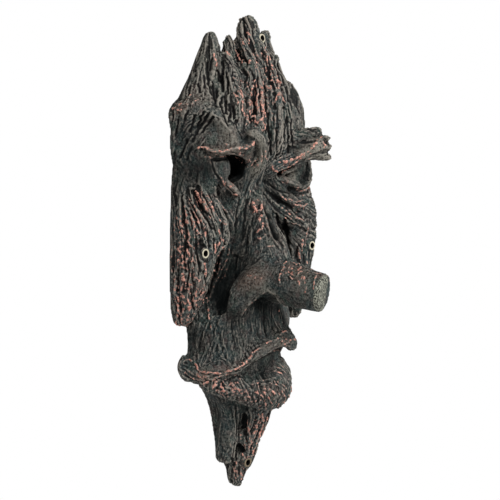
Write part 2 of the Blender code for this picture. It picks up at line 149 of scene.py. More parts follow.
# Each roll: points of across, out, up and radius
ROLLS = {
    "near_lip_lobe": [
        (-65, 3, 121, 3.0), (-70, 3, 117, 3.0), (-72.5, 4, 112, 3.2), (-72.5, 7, 106, 3.2),
        (-70, 10, 102, 3.0), (-64, 14, 101, 2.6),
    ],
    "near_lip_lobe_fill": [(-69, 3, 115, 4.0), (-70, 5, 110, 5.0), (-70, 7, 106, 4.6), (-66, 11, 104, 3.6)],
    "far_brow_fill": [(40, 49, 296, 3.0), (50, 56, 300, 4.5), (57, 60, 302, 4.8), (60, 61.5, 300, 4.2)],
    "far_brow_top_fill": [(44, 47, 307, 3.0), (51, 53, 308, 4.5), (57, 57.5, 309.5, 4.5)],
    "far_brow_knob": [(53, 58, 309, 2.4), (57, 61, 310.5, 3.4), (58, 61.5, 308, 3.0)],
    "far_lid_fill": [(28, 32, 279, 2.6), (33, 35, 280.5, 2.8), (38, 36.5, 282.5, 2.8), (42, 37, 284, 2.6)],
}
melt_into(casting, [lay_roll(name, points) for name, points in ROLLS.items()])

# Its fine skin: small enough faces to carve the grain in
SKIN_VOXEL = 0.9 * MM
SKIN_SOFTENING = 0.5
SKIN_SOFTENING_ROUNDS = 5

skin = casting.modifiers.new("Fine skin", "REMESH")
skin.mode = "VOXEL"
skin.voxel_size = SKIN_VOXEL
skin.adaptivity = 0.0
soften = casting.modifiers.new("No facets", "SMOOTH")
soften.factor = SKIN_SOFTENING
soften.iterations = SKIN_SOFTENING_ROUNDS
finish_modifiers(casting)


# The grain of the casting's bark
# The carver's furrows follow the grain of each board. The strokes below give the direction of the grain
# over the face, each with the depth of its furrows and of its fibres in millimetres.
class Skin:
    """A body's vertices as arrays of millimetres, and which of them are joined by an edge."""

    def __init__(self, body):
        self.mesh = body.data
        count = len(self.mesh.vertices)
        self.at = np.empty(count * 3, dtype=np.float64)
        self.mesh.vertices.foreach_get("co", self.at)
        self.at = self.at.reshape(-1, 3) / MM
        ends = np.empty(len(self.mesh.edges) * 2, dtype=np.int64)
        self.mesh.edges.foreach_get("vertices", ends)
        self.ends = ends.reshape(-1, 2)
        self.neighbours = np.bincount(self.ends.ravel(), minlength=count)

    def normals(self):
        """The way that each vertex faces."""
        facing = np.empty(len(self.at) * 3, dtype=np.float64)
        self.mesh.vertices.foreach_get("normal", facing)
        return facing.reshape(-1, 3)

    def evened(self, values, rounds):
        """The values, blurred over the mesh."""
        values = np.array(values, dtype=np.float64)
        flat = values.reshape(len(values), -1)
        a, b = self.ends[:, 0], self.ends[:, 1]
        for _ in range(rounds):
            for column in range(flat.shape[1]):
                v = flat[:, column]
                total = np.bincount(a, weights=v[b], minlength=len(v))
                total += np.bincount(b, weights=v[a], minlength=len(v))
                flat[:, column] = 0.5 * v + 0.5 * total / self.neighbours
        return flat.reshape(values.shape)

    def store(self):
        """Moves the body's vertices to where the array has them."""
        self.mesh.vertices.foreach_set("co", (self.at * MM).ravel())
        self.mesh.update()


# Each stroke: furrow depth, fibre depth, copper share, then its points of across, out and up
FOREHEAD_GRAIN = [
    (1.5, 0.45, 0.9, [(5, 14, 416), (5, 30, 380), (3, 42, 340), (0, 46, 308), (0, 36, 288)]),
    (1.5, 0.45, 0.8, [(18, 12, 412), (17, 28, 380), (17, 40, 345), (16, 44, 318), (10, 42, 296)]),
    (1.2, 0.40, 0.4, [(29, 12, 404), (29, 28, 370), (31, 36, 340), (38, 42, 320), (50, 50, 312)]),
    (1.0, 0.40, 0.3, [(46, 10, 362), (54, 18, 345), (60, 24, 328), (64, 36, 312)]),
    (0.8, 0.35, 0.3, [(70, 8, 350), (76, 8, 330), (76, 12, 306)]),
    (1.4, 0.40, 0.4, [(-12, 6, 402), (-12, 26, 375), (-14, 38, 345), (-17, 42, 322)]),
    (1.4, 0.40, 0.3, [(-26, 10, 390), (-28, 26, 365), (-31, 36, 340), (-35, 42, 322)]),
    (1.0, 0.35, 0.15, [(-36, 6, 402), (-42, 14, 380), (-48, 22, 358), (-54, 28, 338)]),
    (0.9, 0.35, 0.5, [(-50, 4, 382), (-62, 10, 356), (-74, 14, 336)]),
]
TEMPLE_GRAIN = [
    (0.5, 0.35, 0.1, [(-54, 33, 334), (-63, 28, 324), (-72, 20, 312), (-78, 12, 300)]),
    (0.4, 0.30, 0.1, [(-76, 12, 298), (-75, 18, 282), (-77, 14, 264)]),
    (0.1, 0.25, 0.1, [(-40, 44, 314), (-50, 42, 310), (-60, 38, 306)]),
]
BROW_GRAIN = [
    (0.3, 0.25, 0.6, [(-69, 34, 300), (-60, 49, 300), (-45, 53, 303), (-30, 51, 308)]),
    (0.4, 0.30, 0.3, [(-24, 45, 318), (-13, 45, 306), (-12, 42, 292), (-16, 32, 274)]),
    (0.8, 0.35, 0.8, [(4, 34, 281), (25, 46, 291), (46, 57, 298), (60, 63, 300)]),
    (0.8, 0.35, 0.3, [(34, 42, 314), (48, 50, 312), (58, 56, 310)]),
]
EYE_GRAIN = [
    (0.0, 0.10, 0.0, [(-50, 38, 296), (-50, 40, 284), (-50, 38, 272)]),
    (0.0, 0.10, 0.1, [(50, 38, 294), (50, 40, 284), (50, 38, 274)]),
    (0.5, 0.30, 0.7, [(-46, 37, 273), (-36, 38, 265), (-23, 33, 254)]),
]
NOSE_GRAIN = [
    (0.5, 0.30, 0.7, [(0, 38, 278), (0, 40, 252), (0, 52, 225), (0, 64, 205)]),
    (0.6, 0.45, 0.1, [(-14, 30, 264), (-20, 32, 244), (-26, 34, 222), (-34, 32, 200)]),
    (0.4, 0.30, 0.1, [(14, 30, 260), (20, 34, 240), (26, 38, 222), (32, 34, 200)]),
    (0.2, 0.15, 0.1, [(-8, 58, 196), (-22, 52, 188), (-36, 42, 176), (-41, 34, 160)]),
    (0.3, 0.15, 0.5, [(0, 68, 204), (4, 84, 199), (8, 99, 194)]),
    (0.3, 0.15, 0.2, [(0, 62, 168), (4, 84, 163), (8, 99, 160)]),
]
NEAR_CHEEK_GRAIN = [
    (1.8, 0.45, 0.5, [(-76, 14, 268), (-72, 26, 244), (-66, 30, 222), (-62, 30, 200), (-66, 24, 178)]),
    (1.2, 0.45, 0.6, [(-54, 28, 262), (-46, 34, 240), (-44, 34, 218), (-52, 31, 194), (-62, 25, 168)]),
    (1.0, 0.50, 0.7, [(-83, 6, 258), (-83, 8, 220), (-82, 8, 184), (-77, 8, 152)]),
    (1.0, 0.50, 0.7, [(-78, 18, 236), (-76, 20, 204), (-73, 18, 172), (-73, 12, 152)]),
    (0.5, 0.30, 0.2, [(-58, 30, 268), (-48, 32, 258), (-38, 30, 248), (-30, 28, 234)]),
]
FAR_CHEEK_GRAIN = [
    (0.8, 0.35, 0.5, [(12, 30, 270), (30, 36, 256), (54, 38, 245), (74, 28, 238)]),
    (0.8, 0.35, 0.6, [(14, 28, 254), (34, 34, 240), (54, 37, 232), (74, 28, 225)]),
    (0.8, 0.35, 0.3, [(20, 26, 240), (34, 30, 218), (44, 32, 200), (56, 30, 184)]),
    (0.8, 0.45, 0.6, [(78, 18, 226), (76, 22, 204), (74, 18, 176), (75, 8, 152)]),
    (0.6, 0.30, 0.3, [(30, 32, 272), (48, 38, 264), (66, 36, 269), (74, 28, 282)]),
]
MUZZLE_GRAIN = [
    (0.4, 0.35, 0.05, [(-50, 26, 160), (-54, 24, 142), (-60, 22, 128), (-68, 22, 114)]),
    (0.4, 0.35, 0.05, [(-30, 38, 162), (-34, 40, 142), (-40, 42, 128), (-46, 43, 114)]),
    (0.4, 0.35, 0.05, [(-10, 44, 165), (-12, 46, 152), (-14, 50, 136)]),
    (0.4, 0.35, 0.05, [(10, 44, 165), (10, 46, 152), (10, 52, 140)]),
    (0.4, 0.35, 0.05, [(34, 38, 160), (37, 36, 142), (44, 30, 124)]),
    (0.1, 0.20, 0.0, [(-30, 42, 112), (-28, 42, 100)]),
    (0.1, 0.20, 0.0, [(0, 46, 122), (0, 46, 106)]),
]
LIP_GRAIN = [
    (0.4, 0.30, 0.8, [(-73, 12, 116), (-62, 32, 108), (-44, 45, 111), (-20, 54, 126), (-4, 57, 132)]),
    (0.5, 0.30, 0.8, [(4, 57, 135), (20, 54, 136), (32, 44, 131), (44, 32, 121), (60, 12, 111)]),
]
BEARD_GRAIN = [
    (0.5, 0.35, 0.1, [(-48, 26, 98), (-34, 26, 78), (-28, 22, 52), (-26, 14, 28)]),
    (0.8, 0.35, 0.3, [(-34, 38, 86), (-22, 34, 64), (-16, 26, 42), (-12, 18, 22), (-6, 12, 4)]),
    (1.0, 0.35, 0.7, [(-6, 46, 74), (-3, 40, 60), (-3, 30, 44), (-3, 22, 24), (-4, 12, 2)]),
    (1.0, 0.35, 0.7, [(12, 38, 76), (8, 32, 56), (4, 24, 36), (1, 16, 16)]),
    (0.6, 0.35, 0.3, [(36, 20, 92), (28, 18, 66), (18, 14, 40)]),
]
grain = [
    *FOREHEAD_GRAIN, *TEMPLE_GRAIN, *BROW_GRAIN, *EYE_GRAIN, *NOSE_GRAIN, *NEAR_CHEEK_GRAIN,
    *FAR_CHEEK_GRAIN, *MUZZLE_GRAIN, *LIP_GRAIN, *BEARD_GRAIN,
]

# The lower lip is combed over from top to bottom. Each ring: the lip's middle as across, out and up, its
# half thickness, and the side and forward parts of the way it faces.
LOWER_LIP_RINGS = [
    (-56, 30, 97, 7, -0.6, 0.8),
    (-42, 39, 94, 10, -0.5, 0.85),
    (-24, 46, 91, 13, -0.3, 0.95),
    (-7, 50, 90, 16, 0.1, 1.0),
    (9, 42, 95, 15, 0.5, 0.85),
    (24, 31, 102, 11, 0.65, 0.75),
    (38, 18, 107, 8, 0.75, 0.65),
]
LOWER_LIP_STROKE = (0.5, 0.45, 0.55)
SHOULDER = 0.7

for across, out, up, fat, side, forward in LOWER_LIP_RINGS:
    slope = fat * SHOULDER
    grain.append((*LOWER_LIP_STROKE, [
        (across, out, up + fat),
        (across + side * slope, out + forward * slope, up + slope),
        (across + side * fat, out + forward * fat, up),
        (across + side * slope, out + forward * slope, up - slope),
        (across, out, up - fat),
    ]))

GRAIN_STEP = 4.0
GRAIN_REACH = 2.0
VERTICES_AT_ONCE = 8000
TINY = 1e-9


def grain_points(points):
    """Points every few millimetres along a stroke, and its direction at each of them."""
    row = np.array([(across, -out, up - MIDDLE_HEIGHT) for across, out, up in points], dtype=np.float64)
    places, ways = [], []
    for start, end in zip(row, row[1:]):
        length = np.linalg.norm(end - start)
        count = max(int(length / GRAIN_STEP), 1)
        for i in range(count):
            places.append(start + (end - start) * (i + 0.5) / count)
            ways.append((end - start) / length)
    return places, ways


def one_long(vectors):
    """The vectors, each made one unit long."""
    return vectors / (np.linalg.norm(vectors, axis=1, keepdims=True) + TINY)


def comb_the_grain(skin, facing):
    """The grain's direction at each vertex, and its furrow, fibre and copper values."""
    places, ways, traits = [], [], []
    for furrow, fibre, copper, points in grain:
        stroke_places, stroke_ways = grain_points(points)
        places.extend(stroke_places)
        ways.extend(stroke_ways)
        traits.extend([(furrow, fibre, copper)] * len(stroke_places))
    places = np.array(places, dtype=np.float32)
    ways = np.array(ways, dtype=np.float32)
    traits = np.array(traits, dtype=np.float32)
    count = len(skin.at)
    way = np.empty((count, 3))
    trait = np.empty((count, 3))
    for start in range(0, count, VERTICES_AT_ONCE):
        part = slice(start, start + VERTICES_AT_ONCE)
        gap = skin.at[part].astype(np.float32)[:, None, :] - places[None, :, :]
        weight = 1 / (np.einsum("ijk,ijk->ij", gap, gap) + GRAIN_REACH**2) ** 3
        weight /= weight.sum(axis=1, keepdims=True)
        way[part] = weight @ ways
        trait[part] = weight @ traits
    way -= facing * np.einsum("ij,ij->i", way, facing)[:, None]
    return one_long(way), trait


# Random lumps, the same on every run
AXIS_PRIMES = (73856093, 19349663, 83492791)
SEED_PRIME = 2654435761
FIRST_STIR = 2246822519
SECOND_STIR = 3266489917
WHOLE_WORD = 0xFFFFFFFF
LOW_BITS = 0xFFFFFF


def speckle(at, cell, seed):
    """Smooth random values from -1 to 1 through space, with lumps of the cell's size."""
    scaled = at / cell
    low = np.floor(scaled).astype(np.int64)
    share = scaled - low
    share = share * share * (3 - 2 * share)
    total = np.zeros(len(at))
    for corner in range(8):
        step = np.array([corner & 1, corner >> 1 & 1, corner >> 2 & 1])
        cube = (low + step) * AXIS_PRIMES
        key = cube[:, 0] ^ cube[:, 1] ^ cube[:, 2] ^ (seed * SEED_PRIME)
        key &= WHOLE_WORD
        key = (key ^ (key >> 15)) * FIRST_STIR & WHOLE_WORD
        key = (key ^ (key >> 13)) * SECOND_STIR & WHOLE_WORD
        value = ((key ^ (key >> 16)) & LOW_BITS) / LOW_BITS * 2 - 1
        weight = np.prod(np.where(step, share, 1 - share), axis=1)
        total += value * weight
    return total


def streaks(at, way, cell, length, seed):
    """Speckle drawn out along the grain, scaled to a spread of about one."""
    steps = np.linspace(-1, 1, max(int(length / cell) * 2 + 1, 3))
    total = np.zeros(len(at))
    for step in steps:
        total += (1 - 0.7 * abs(step)) * speckle(at + way * (step * length), cell, seed)
    return total / total.std()


# The casting's creases
# Ridges and clefts that the carver cut one by one, traced through the camera in pixels of the photograph.
# Each has its height (a crest) or depth (a groove, below zero) and half width in millimetres, its share of
# copper, and its points.
BROW_CREASES = [
    (1.3, 1.1, 0.5, [
        (196, 149), (200, 147), (205, 147), (209, 150), (213, 151.5), (218, 151), (222, 152),
        (229, 150),
    ]),
    (1.3, 1.2, 0.8, [
        (229, 150), (232, 147), (235, 148), (240, 148), (246, 147.5), (250, 146), (253, 144),
        (254, 141),
    ]),
    (0.8, 1.0, 0.6, [(224, 144), (228, 145), (231, 148), (234, 145)]),
    (1.1, 1.5, 0.0, [
        (249, 134), (253, 135), (256, 137), (259, 141), (261, 147), (261.5, 155), (259.5, 163),
        (256, 171),
    ]),
    (1.0, 1.2, 0.6, [(263, 149), (266, 154), (267, 159), (266, 163)]),
    (0.8, 1.2, 0.0, [(266, 163), (264, 170), (262, 175), (260, 183)]),
    (0.6, 0.9, 0.8, [(229, 156), (236, 158), (243, 159), (249, 159), (253, 162), (256, 160)]),
    (0.5, 0.9, 0.7, [(212, 159), (218, 157), (225, 156), (230, 155)]),
    (1.0, 1.2, 0.9, [(220, 177), (223, 182), (226, 187), (229, 190), (233, 194), (238, 195)]),
    (0.8, 1.0, 0.9, [(223, 191), (228, 190), (232, 188)]),
    (1.2, 1.1, 0.9, [
        (284, 162), (290, 161), (295, 158.5), (301, 155.5), (306, 152.5), (311, 149), (315, 144),
        (322, 137),
    ]),
    (1.0, 1.0, 1.0, [
        (271, 165), (273, 168), (276, 171), (281, 172), (287, 170), (291, 166), (295, 163), (305, 155),
    ]),
    (0.8, 1.0, 0.8, [(322, 138), (324, 144), (327, 147)]),
    (0.5, 0.8, 0.3, [(300, 160), (307, 156), (314, 152), (320, 149)]),
    (0.5, 0.8, 0.3, [(306, 160), (313, 157), (320, 155), (326, 154)]),
    (0.9, 1.0, 0.9, [(294, 187), (299, 191), (304, 190), (309, 187), (313, 181)]),
    (-0.8, 0.8, 0.0, [(232, 152), (238, 154), (246, 153), (252, 150)]),
    (-1.8, 1.3, 0.0, [(212, 160), (213, 167), (216, 174), (220, 179)]),
    (-1.6, 1.3, 0.0, [(213, 160), (221, 159), (229, 158)]),
    (-0.7, 0.8, 0.0, [(262, 146), (264.5, 156), (262.5, 165), (259, 176)]),
]
TEMPLE_CREASES = [
    (-2.0, 1.2, 0.0, [(204, 112), (201, 119), (198, 127)]),
    (-2.0, 1.2, 0.0, [(209, 112), (205, 120), (200, 127)]),
    (-2.0, 1.2, 0.0, [(213, 117), (208, 124), (203, 131)]),
    (-1.8, 1.2, 0.0, [(199, 127), (196, 134), (192, 141)]),
    (-1.8, 1.2, 0.0, [(188, 111), (186, 116), (185, 121)]),
    (-1.6, 1.1, 0.0, [(195, 116), (193, 124), (190, 131)]),
    (-1.6, 1.2, 0.0, [(187, 141), (183, 149), (180, 157)]),
    (-1.4, 1.1, 0.0, [(178, 120), (177, 128), (175, 136)]),
    (-1.2, 1.0, 0.0, [(192, 146), (188, 153), (186, 160)]),
    (0.9, 1.2, 0.1, [(204, 106), (209, 112), (213, 115), (219, 117), (224, 123), (230, 130)]),
    (0.8, 1.0, 0.8, [(173, 108), (176, 107), (180, 111)]),
    (0.8, 1.0, 0.7, [(178, 105), (183, 103), (187, 99), (191, 95)]),
    (0.6, 1.0, 0.4, [(187, 105), (192, 103), (198, 100)]),
]
FOREHEAD_CREASES = [
    (-2.2, 1.2, 0.0, [(208, 62), (208, 70), (209, 80), (210, 88)]),
    (-2.2, 1.2, 0.0, [(213, 58), (212, 65), (211, 70)]),
    (-2.2, 1.2, 0.0, [(222, 62), (223, 68), (222, 74)]),
    (-2.2, 1.3, 0.0, [(218, 71), (220, 78), (222, 84), (223, 91)]),
    (-2.0, 1.2, 0.0, [(213, 82), (214, 92), (216, 102)]),
    (-1.8, 1.2, 0.0, [(204, 76), (205, 87)]),
    (-1.8, 1.1, 0.0, [(198, 84), (200, 92)]),
    (-2.2, 1.2, 0.0, [(226, 72), (227, 80), (228, 93)]),
    (-1.8, 1.1, 0.0, [(217, 88), (217, 97)]),
    (-2.0, 1.2, 0.0, [(222, 97), (221, 105), (224, 112)]),
    (-2.0, 1.2, 0.0, [(226, 101), (227, 114)]),
    (-2.0, 1.2, 0.0, [(229, 104), (231, 112), (229, 121)]),
    (-2.0, 1.2, 0.0, [(233, 107), (234, 118)]),
    (-1.8, 1.2, 0.0, [(224, 116), (228, 125)]),
    (-1.8, 1.2, 0.0, [(236, 121), (238, 130), (242, 138)]),
    (-1.6, 1.0, 0.0, [(237, 53), (238, 61)]),
    (-1.8, 1.2, 0.0, [(262, 50), (264, 58)]),
    (-1.8, 1.1, 0.0, [(269, 57), (271, 65)]),
    (-2.0, 1.2, 0.0, [(258, 76), (258, 86)]),
    (-2.0, 1.2, 0.0, [(264, 66), (267, 75)]),
    (-2.0, 1.2, 0.0, [(254, 84), (256, 92)]),
    (-2.0, 1.2, 0.0, [(261, 90), (260, 98)]),
    (-2.0, 1.2, 0.0, [(268, 74), (269, 84)]),
    (-2.0, 1.2, 0.0, [(278, 84), (280, 91)]),
    (-1.8, 1.1, 0.0, [(246, 98), (247, 108)]),
    (-1.8, 1.1, 0.0, [(254, 100), (254, 112)]),
    (-1.8, 1.1, 0.0, [(261, 102), (262, 116)]),
    (-1.8, 1.1, 0.0, [(268, 114), (268, 126), (270, 140), (271, 155)]),
    (-1.8, 1.1, 0.0, [(276, 128), (277, 145), (276, 158)]),
    (-1.8, 1.1, 0.0, [(284, 107), (282, 116), (283, 128)]),
    (-1.8, 1.1, 0.0, [(287, 118), (285, 132), (284, 146)]),
    (-1.8, 1.1, 0.0, [(292, 120), (292, 132), (293, 145)]),
    (-1.6, 1.1, 0.0, [(289, 136), (288, 152)]),
    (1.0, 0.8, 0.9, [(225, 51), (228, 54), (230, 57)]),
    (1.2, 0.8, 1.0, [(235, 50), (238, 54), (240, 60)]),
    (0.9, 0.8, 0.2, [(245, 23), (248, 27), (249, 31)]),
    (1.0, 0.8, 1.0, [(248, 32), (249, 37), (250, 42)]),
    (0.9, 0.8, 0.8, [(241, 39), (245, 45)]),
    (1.0, 0.8, 1.0, [(262, 43), (265, 47), (267, 52), (270, 57), (272, 62)]),
    (1.0, 0.8, 0.9, [(264, 62), (265, 67)]),
    (1.1, 0.9, 1.0, [(250, 60), (249, 66), (248, 69)]),
    (1.2, 0.8, 1.0, [(240, 86), (244, 90), (247, 87), (248, 82)]),
    (1.2, 0.8, 1.0, [(247, 84), (249, 90), (252, 95), (251, 99)]),
    (1.2, 0.8, 1.0, [(239, 91), (241, 96), (238, 98)]),
    (1.2, 0.8, 1.0, [(234, 93), (238, 97), (237, 103)]),
    (1.2, 0.8, 1.0, [(259, 86), (262, 89), (264, 84), (263, 80)]),
    (1.2, 0.8, 1.0, [(262, 91), (264, 99), (265, 112), (265, 124), (264, 130)]),
    (1.3, 0.9, 1.0, [(275, 102), (277, 96), (279, 93), (282, 98), (284, 102)]),
    (1.1, 0.9, 1.0, [(276, 80), (280, 82), (281, 87)]),
    (1.0, 0.8, 0.9, [(270, 60), (273, 66), (275, 72), (277, 76)]),
    (1.0, 0.8, 1.0, [(268, 80), (272, 80)]),
    (1.0, 0.8, 1.0, [(253, 86), (253, 82), (256, 79)]),
    (0.8, 0.9, 0.6, [(213, 50), (214, 56), (216, 60), (217, 67)]),
    (0.9, 0.8, 0.8, [(256, 62), (259, 67), (260, 74)]),
    (0.9, 0.8, 0.8, [(242, 60), (243, 66), (242, 72)]),
    (1.2, 0.8, 1.0, [(241, 98), (243, 104), (242, 110), (246, 118), (249, 122)]),
    (1.2, 0.8, 1.0, [(250, 96), (250, 104), (250, 112), (251, 118)]),
    (1.2, 0.9, 1.0, [(257, 98), (257, 108), (259, 112)]),
    (1.1, 0.9, 1.0, [(268, 103), (271, 110), (272, 118), (273, 126)]),
    (1.2, 0.9, 1.0, [(252, 117), (255, 116), (255, 122)]),
    (1.0, 1.2, 1.0, [(261, 130), (263, 131)]),
    (0.9, 0.8, 0.8, [(246, 106), (248, 112)]),
    (0.9, 0.8, 0.7, [(233, 76), (236, 79), (240, 81)]),
    (0.8, 1.4, 0.0, [(224, 66), (227, 72), (230, 80), (233, 90), (236, 98)]),
]
CHEEK_CREASES = [
    (-2.6, 1.2, 0.0, [(195, 192), (199, 199), (203, 207), (208, 214)]),
    (-2.6, 1.2, 0.0, [(204, 195), (208, 203), (212, 210), (216, 220)]),
    (-2.4, 1.2, 0.0, [(193, 206), (198, 215), (202, 223)]),
    (-2.2, 1.2, 0.0, [(191, 210), (196, 220), (200, 230)]),
    (-2.0, 1.1, 0.0, [(203, 213), (208, 221), (212, 229)]),
    (-1.6, 1.1, 0.0, [(184, 216), (184, 226)]),
    (-1.6, 1.1, 0.0, [(214, 238), (213, 248)]),
    (-1.4, 1.0, 0.0, [(210, 246), (208, 256)]),
    (-1.6, 1.1, 0.0, [(196, 244), (197, 256), (199, 266)]),
    (0.9, 0.8, 0.8, [(197, 191), (199, 195)]),
    (1.0, 0.8, 0.8, [(200, 197), (204, 204), (207, 209)]),
    (0.9, 0.8, 0.8, [(205, 191), (208, 196), (211, 202)]),
    (1.1, 0.8, 0.7, [(194, 206), (198, 213), (202, 221), (207, 229)]),
    (1.0, 0.8, 0.5, [(206, 207), (210, 217), (213, 227)]),
    (1.0, 0.9, 0.9, [(212, 207), (215, 213), (219, 220), (226, 226)]),
    (0.8, 0.8, 0.6, [(218, 200), (222, 207), (227, 212)]),
    (0.9, 0.8, 0.6, [(188, 197), (191, 202)]),
    (1.0, 0.8, 0.7, [(194, 223), (197, 230), (200, 234)]),
    (1.2, 1.4, 1.0, [(185, 203), (185, 206)]),
    (1.2, 1.3, 1.0, [(185, 213), (187, 217), (186, 222)]),
    (1.2, 1.5, 1.0, [(178, 212), (177, 217), (179, 221)]),
    (1.2, 1.5, 1.0, [(181, 225), (183, 227)]),
    (1.2, 1.3, 1.0, [(188, 221), (189, 226)]),
    (1.1, 1.2, 1.0, [(182, 231), (183, 235)]),
    (1.1, 1.2, 1.0, [(189, 233), (191, 237), (188, 241), (191, 246)]),
    (1.1, 1.2, 1.0, [(181, 242), (180, 247)]),
    (1.1, 1.2, 1.0, [(175, 248), (179, 250), (182, 257)]),
    (1.1, 1.2, 1.0, [(187, 250), (188, 255), (186, 262)]),
    (1.1, 1.2, 1.0, [(192, 258), (193, 265), (195, 272), (194, 279)]),
    (1.0, 1.2, 1.0, [(178, 261), (182, 264), (184, 271)]),
    (1.1, 1.2, 1.0, [(217, 248), (219, 243)]),
    (1.1, 1.3, 1.0, [(222, 240), (224, 246), (222, 250)]),
    (1.0, 1.1, 0.9, [(215, 253), (216, 248), (213, 242)]),
    (0.9, 1.0, 0.8, [(206, 233), (206, 239)]),
    (0.9, 1.0, 0.8, [(219, 230), (221, 236)]),
    (1.1, 1.1, 1.0, [(184, 276), (183, 284), (181, 291), (183, 298), (186, 305)]),
    (1.1, 1.1, 1.0, [(200, 280), (197, 287), (195, 293), (199, 300), (202, 299)]),
    (1.0, 1.0, 0.9, [(205, 288), (202, 296), (204, 303)]),
    (1.1, 1.1, 1.0, [(188, 300), (190, 306), (187, 312), (189, 317)]),
    (1.1, 1.1, 1.0, [(176, 294), (178, 301), (177, 307), (179, 314)]),
    (1.0, 1.0, 1.0, [(183, 309), (184, 315), (182, 321)]),
    (1.0, 1.0, 0.9, [(174, 322), (178, 325), (183, 325), (187, 326)]),
    (0.9, 1.0, 0.8, [(205, 264), (206, 272), (204, 278)]),
    (0.9, 1.0, 0.8, [(214, 270), (218, 274)]),
    (1.0, 1.1, 0.35, [
        (229, 216), (232, 222), (233, 230), (230, 238), (229, 247), (228, 255), (226, 262), (220, 273),
    ]),
    (0.9, 1.0, 0.3, [(220, 273), (215, 283), (211, 292), (209, 302), (208, 312)]),
    (0.8, 0.9, 0.4, [(226, 222), (227, 230), (225, 240), (223, 250), (222, 260), (218, 268)]),
    (-1.4, 1.0, 0.0, [(188, 262), (189, 274), (187, 286)]),
    (-1.4, 1.0, 0.0, [(200, 262), (201, 272)]),
    (-1.6, 1.1, 0.0, [(204, 272), (206, 282), (207, 294)]),
    (-1.4, 1.0, 0.0, [(178, 270), (178, 284), (176, 290)]),
    (-1.4, 1.0, 0.0, [(191, 290), (192, 302), (194, 310)]),
    (0.7, 1.0, 0.7, [(309, 222), (308, 230), (305, 240)]),
    (0.8, 1.0, 0.9, [(302, 236), (303, 243), (302, 250)]),
    (0.8, 1.0, 0.9, [(299, 254), (301, 261)]),
    (-1.4, 1.2, 0.0, [(298, 246), (297, 256)]),
    (-1.2, 1.0, 0.0, [(304, 254), (305, 263)]),
]
FAR_FOLD_CREASES = [
    (0.9, 0.9, 0.4, [(280, 195), (288, 201), (296, 205), (304, 206), (311, 202)]),
    (1.0, 0.9, 0.8, [(282, 208), (290, 213), (297, 218), (303, 220)]),
    (0.8, 0.9, 0.5, [(283, 217), (290, 223), (300, 226)]),
    (0.8, 0.9, 0.4, [(286, 198), (295, 202), (304, 200)]),
    (0.7, 0.9, 0.4, [(300, 196), (307, 195), (312, 191)]),
    (-1.6, 1.4, 0.0, [(264, 181), (272, 186), (280, 190), (290, 193)]),
    (-1.6, 1.4, 0.0, [(266, 190), (274, 197), (282, 203), (292, 209)]),
    (-1.6, 1.4, 0.0, [(264, 193), (270, 202), (278, 211), (288, 219)]),
    (-3.0, 2.2, 0.0, [(266, 208), (270, 217), (272, 226), (276, 237)]),
    (-2.6, 1.8, 0.0, [(284, 221), (286, 232), (288, 244)]),
    (-1.4, 1.2, 0.0, [(276, 214), (279, 226), (283, 236)]),
    (0.9, 0.9, 0.1, [(274, 214), (277, 226), (281, 238), (285, 247)]),
    (0.6, 1.0, 0.2, [
        (261, 196), (263, 205), (265, 214), (267, 222), (270, 233), (275, 241), (283, 250), (288, 258),
    ]),
]
NOSE_CREASES = [
    (2.0, 1.8, 1.0, [(253, 204), (254, 208), (256, 210)]),
    (1.2, 1.2, 1.0, [(257, 211), (261, 210), (262, 205)]),
    (1.3, 1.2, 0.9, [(265, 214), (261, 217), (259, 221), (263, 224), (261, 229), (257, 232)]),
    (1.0, 1.1, 0.7, [(256, 236), (261, 239), (266, 235)]),
    (0.8, 1.0, 0.7, [(268, 246), (275, 246)]),
    (0.8, 0.9, 0.3, [(249, 189), (250, 197), (249, 205)]),
    (0.8, 0.9, 0.4, [(253, 191), (258, 195), (259, 201)]),
    (-1.2, 1.2, 0.0, [(240, 200), (237, 212), (235, 225)]),
    (-1.2, 1.2, 0.0, [(247, 200), (245, 214), (243, 228), (242, 240)]),
    (-1.0, 1.0, 0.0, [(249, 226), (247, 240), (246, 252)]),
    (0.8, 0.9, 0.0, [(243, 196), (240, 210), (238, 224), (236, 238)]),
    (1.0, 0.7, 1.0, [
        (289, 262), (290, 266), (288.5, 270), (289, 275), (292, 279), (295, 278.5), (297, 275),
    ]),
    (1.0, 0.7, 1.0, [(297, 275), (300, 272), (302.5, 272), (303, 276), (301, 279)]),
    (1.0, 0.7, 1.0, [(292, 262), (296, 265), (299, 264), (301, 268), (298, 270)]),
    (0.9, 0.7, 0.9, [(301, 266), (305, 267), (309, 270), (312, 269)]),
    (0.9, 0.7, 1.0, [(304, 273), (305, 278), (304, 281), (306, 284)]),
    (0.8, 0.7, 0.7, [(306, 287), (305, 292)]),
    (0.9, 0.8, 0.9, [(286, 262), (283, 265), (284, 268), (281, 271)]),
    (0.9, 0.8, 0.8, [(280, 274), (279, 278), (280, 282)]),
    (0.8, 0.8, 0.8, [(299, 281), (299, 286)]),
    (0.8, 0.8, 0.8, [(315, 271), (318, 273), (316, 276)]),
    (0.7, 0.8, 0.7, [(307, 263), (311, 266)]),
    (1.3, 1.5, 0.3, [
        (242, 314), (245, 309), (249, 304), (254, 299), (259, 295), (264, 292), (268, 290.5),
    ]),
    (1.2, 1.4, 0.2, [(268, 290.5), (273, 293), (278, 298), (282, 303), (287, 306)]),
    (0.2, 2.2, 0.4, [(240, 280), (246, 276), (252, 275), (259, 279), (264, 281)]),
    (0.7, 0.7, 0.9, [(316, 275), (314, 281), (314, 288), (315.5, 295), (318, 302), (322, 307)]),
    (0.5, 0.7, 0.7, [(322, 271), (327, 275), (330, 281)]),
]
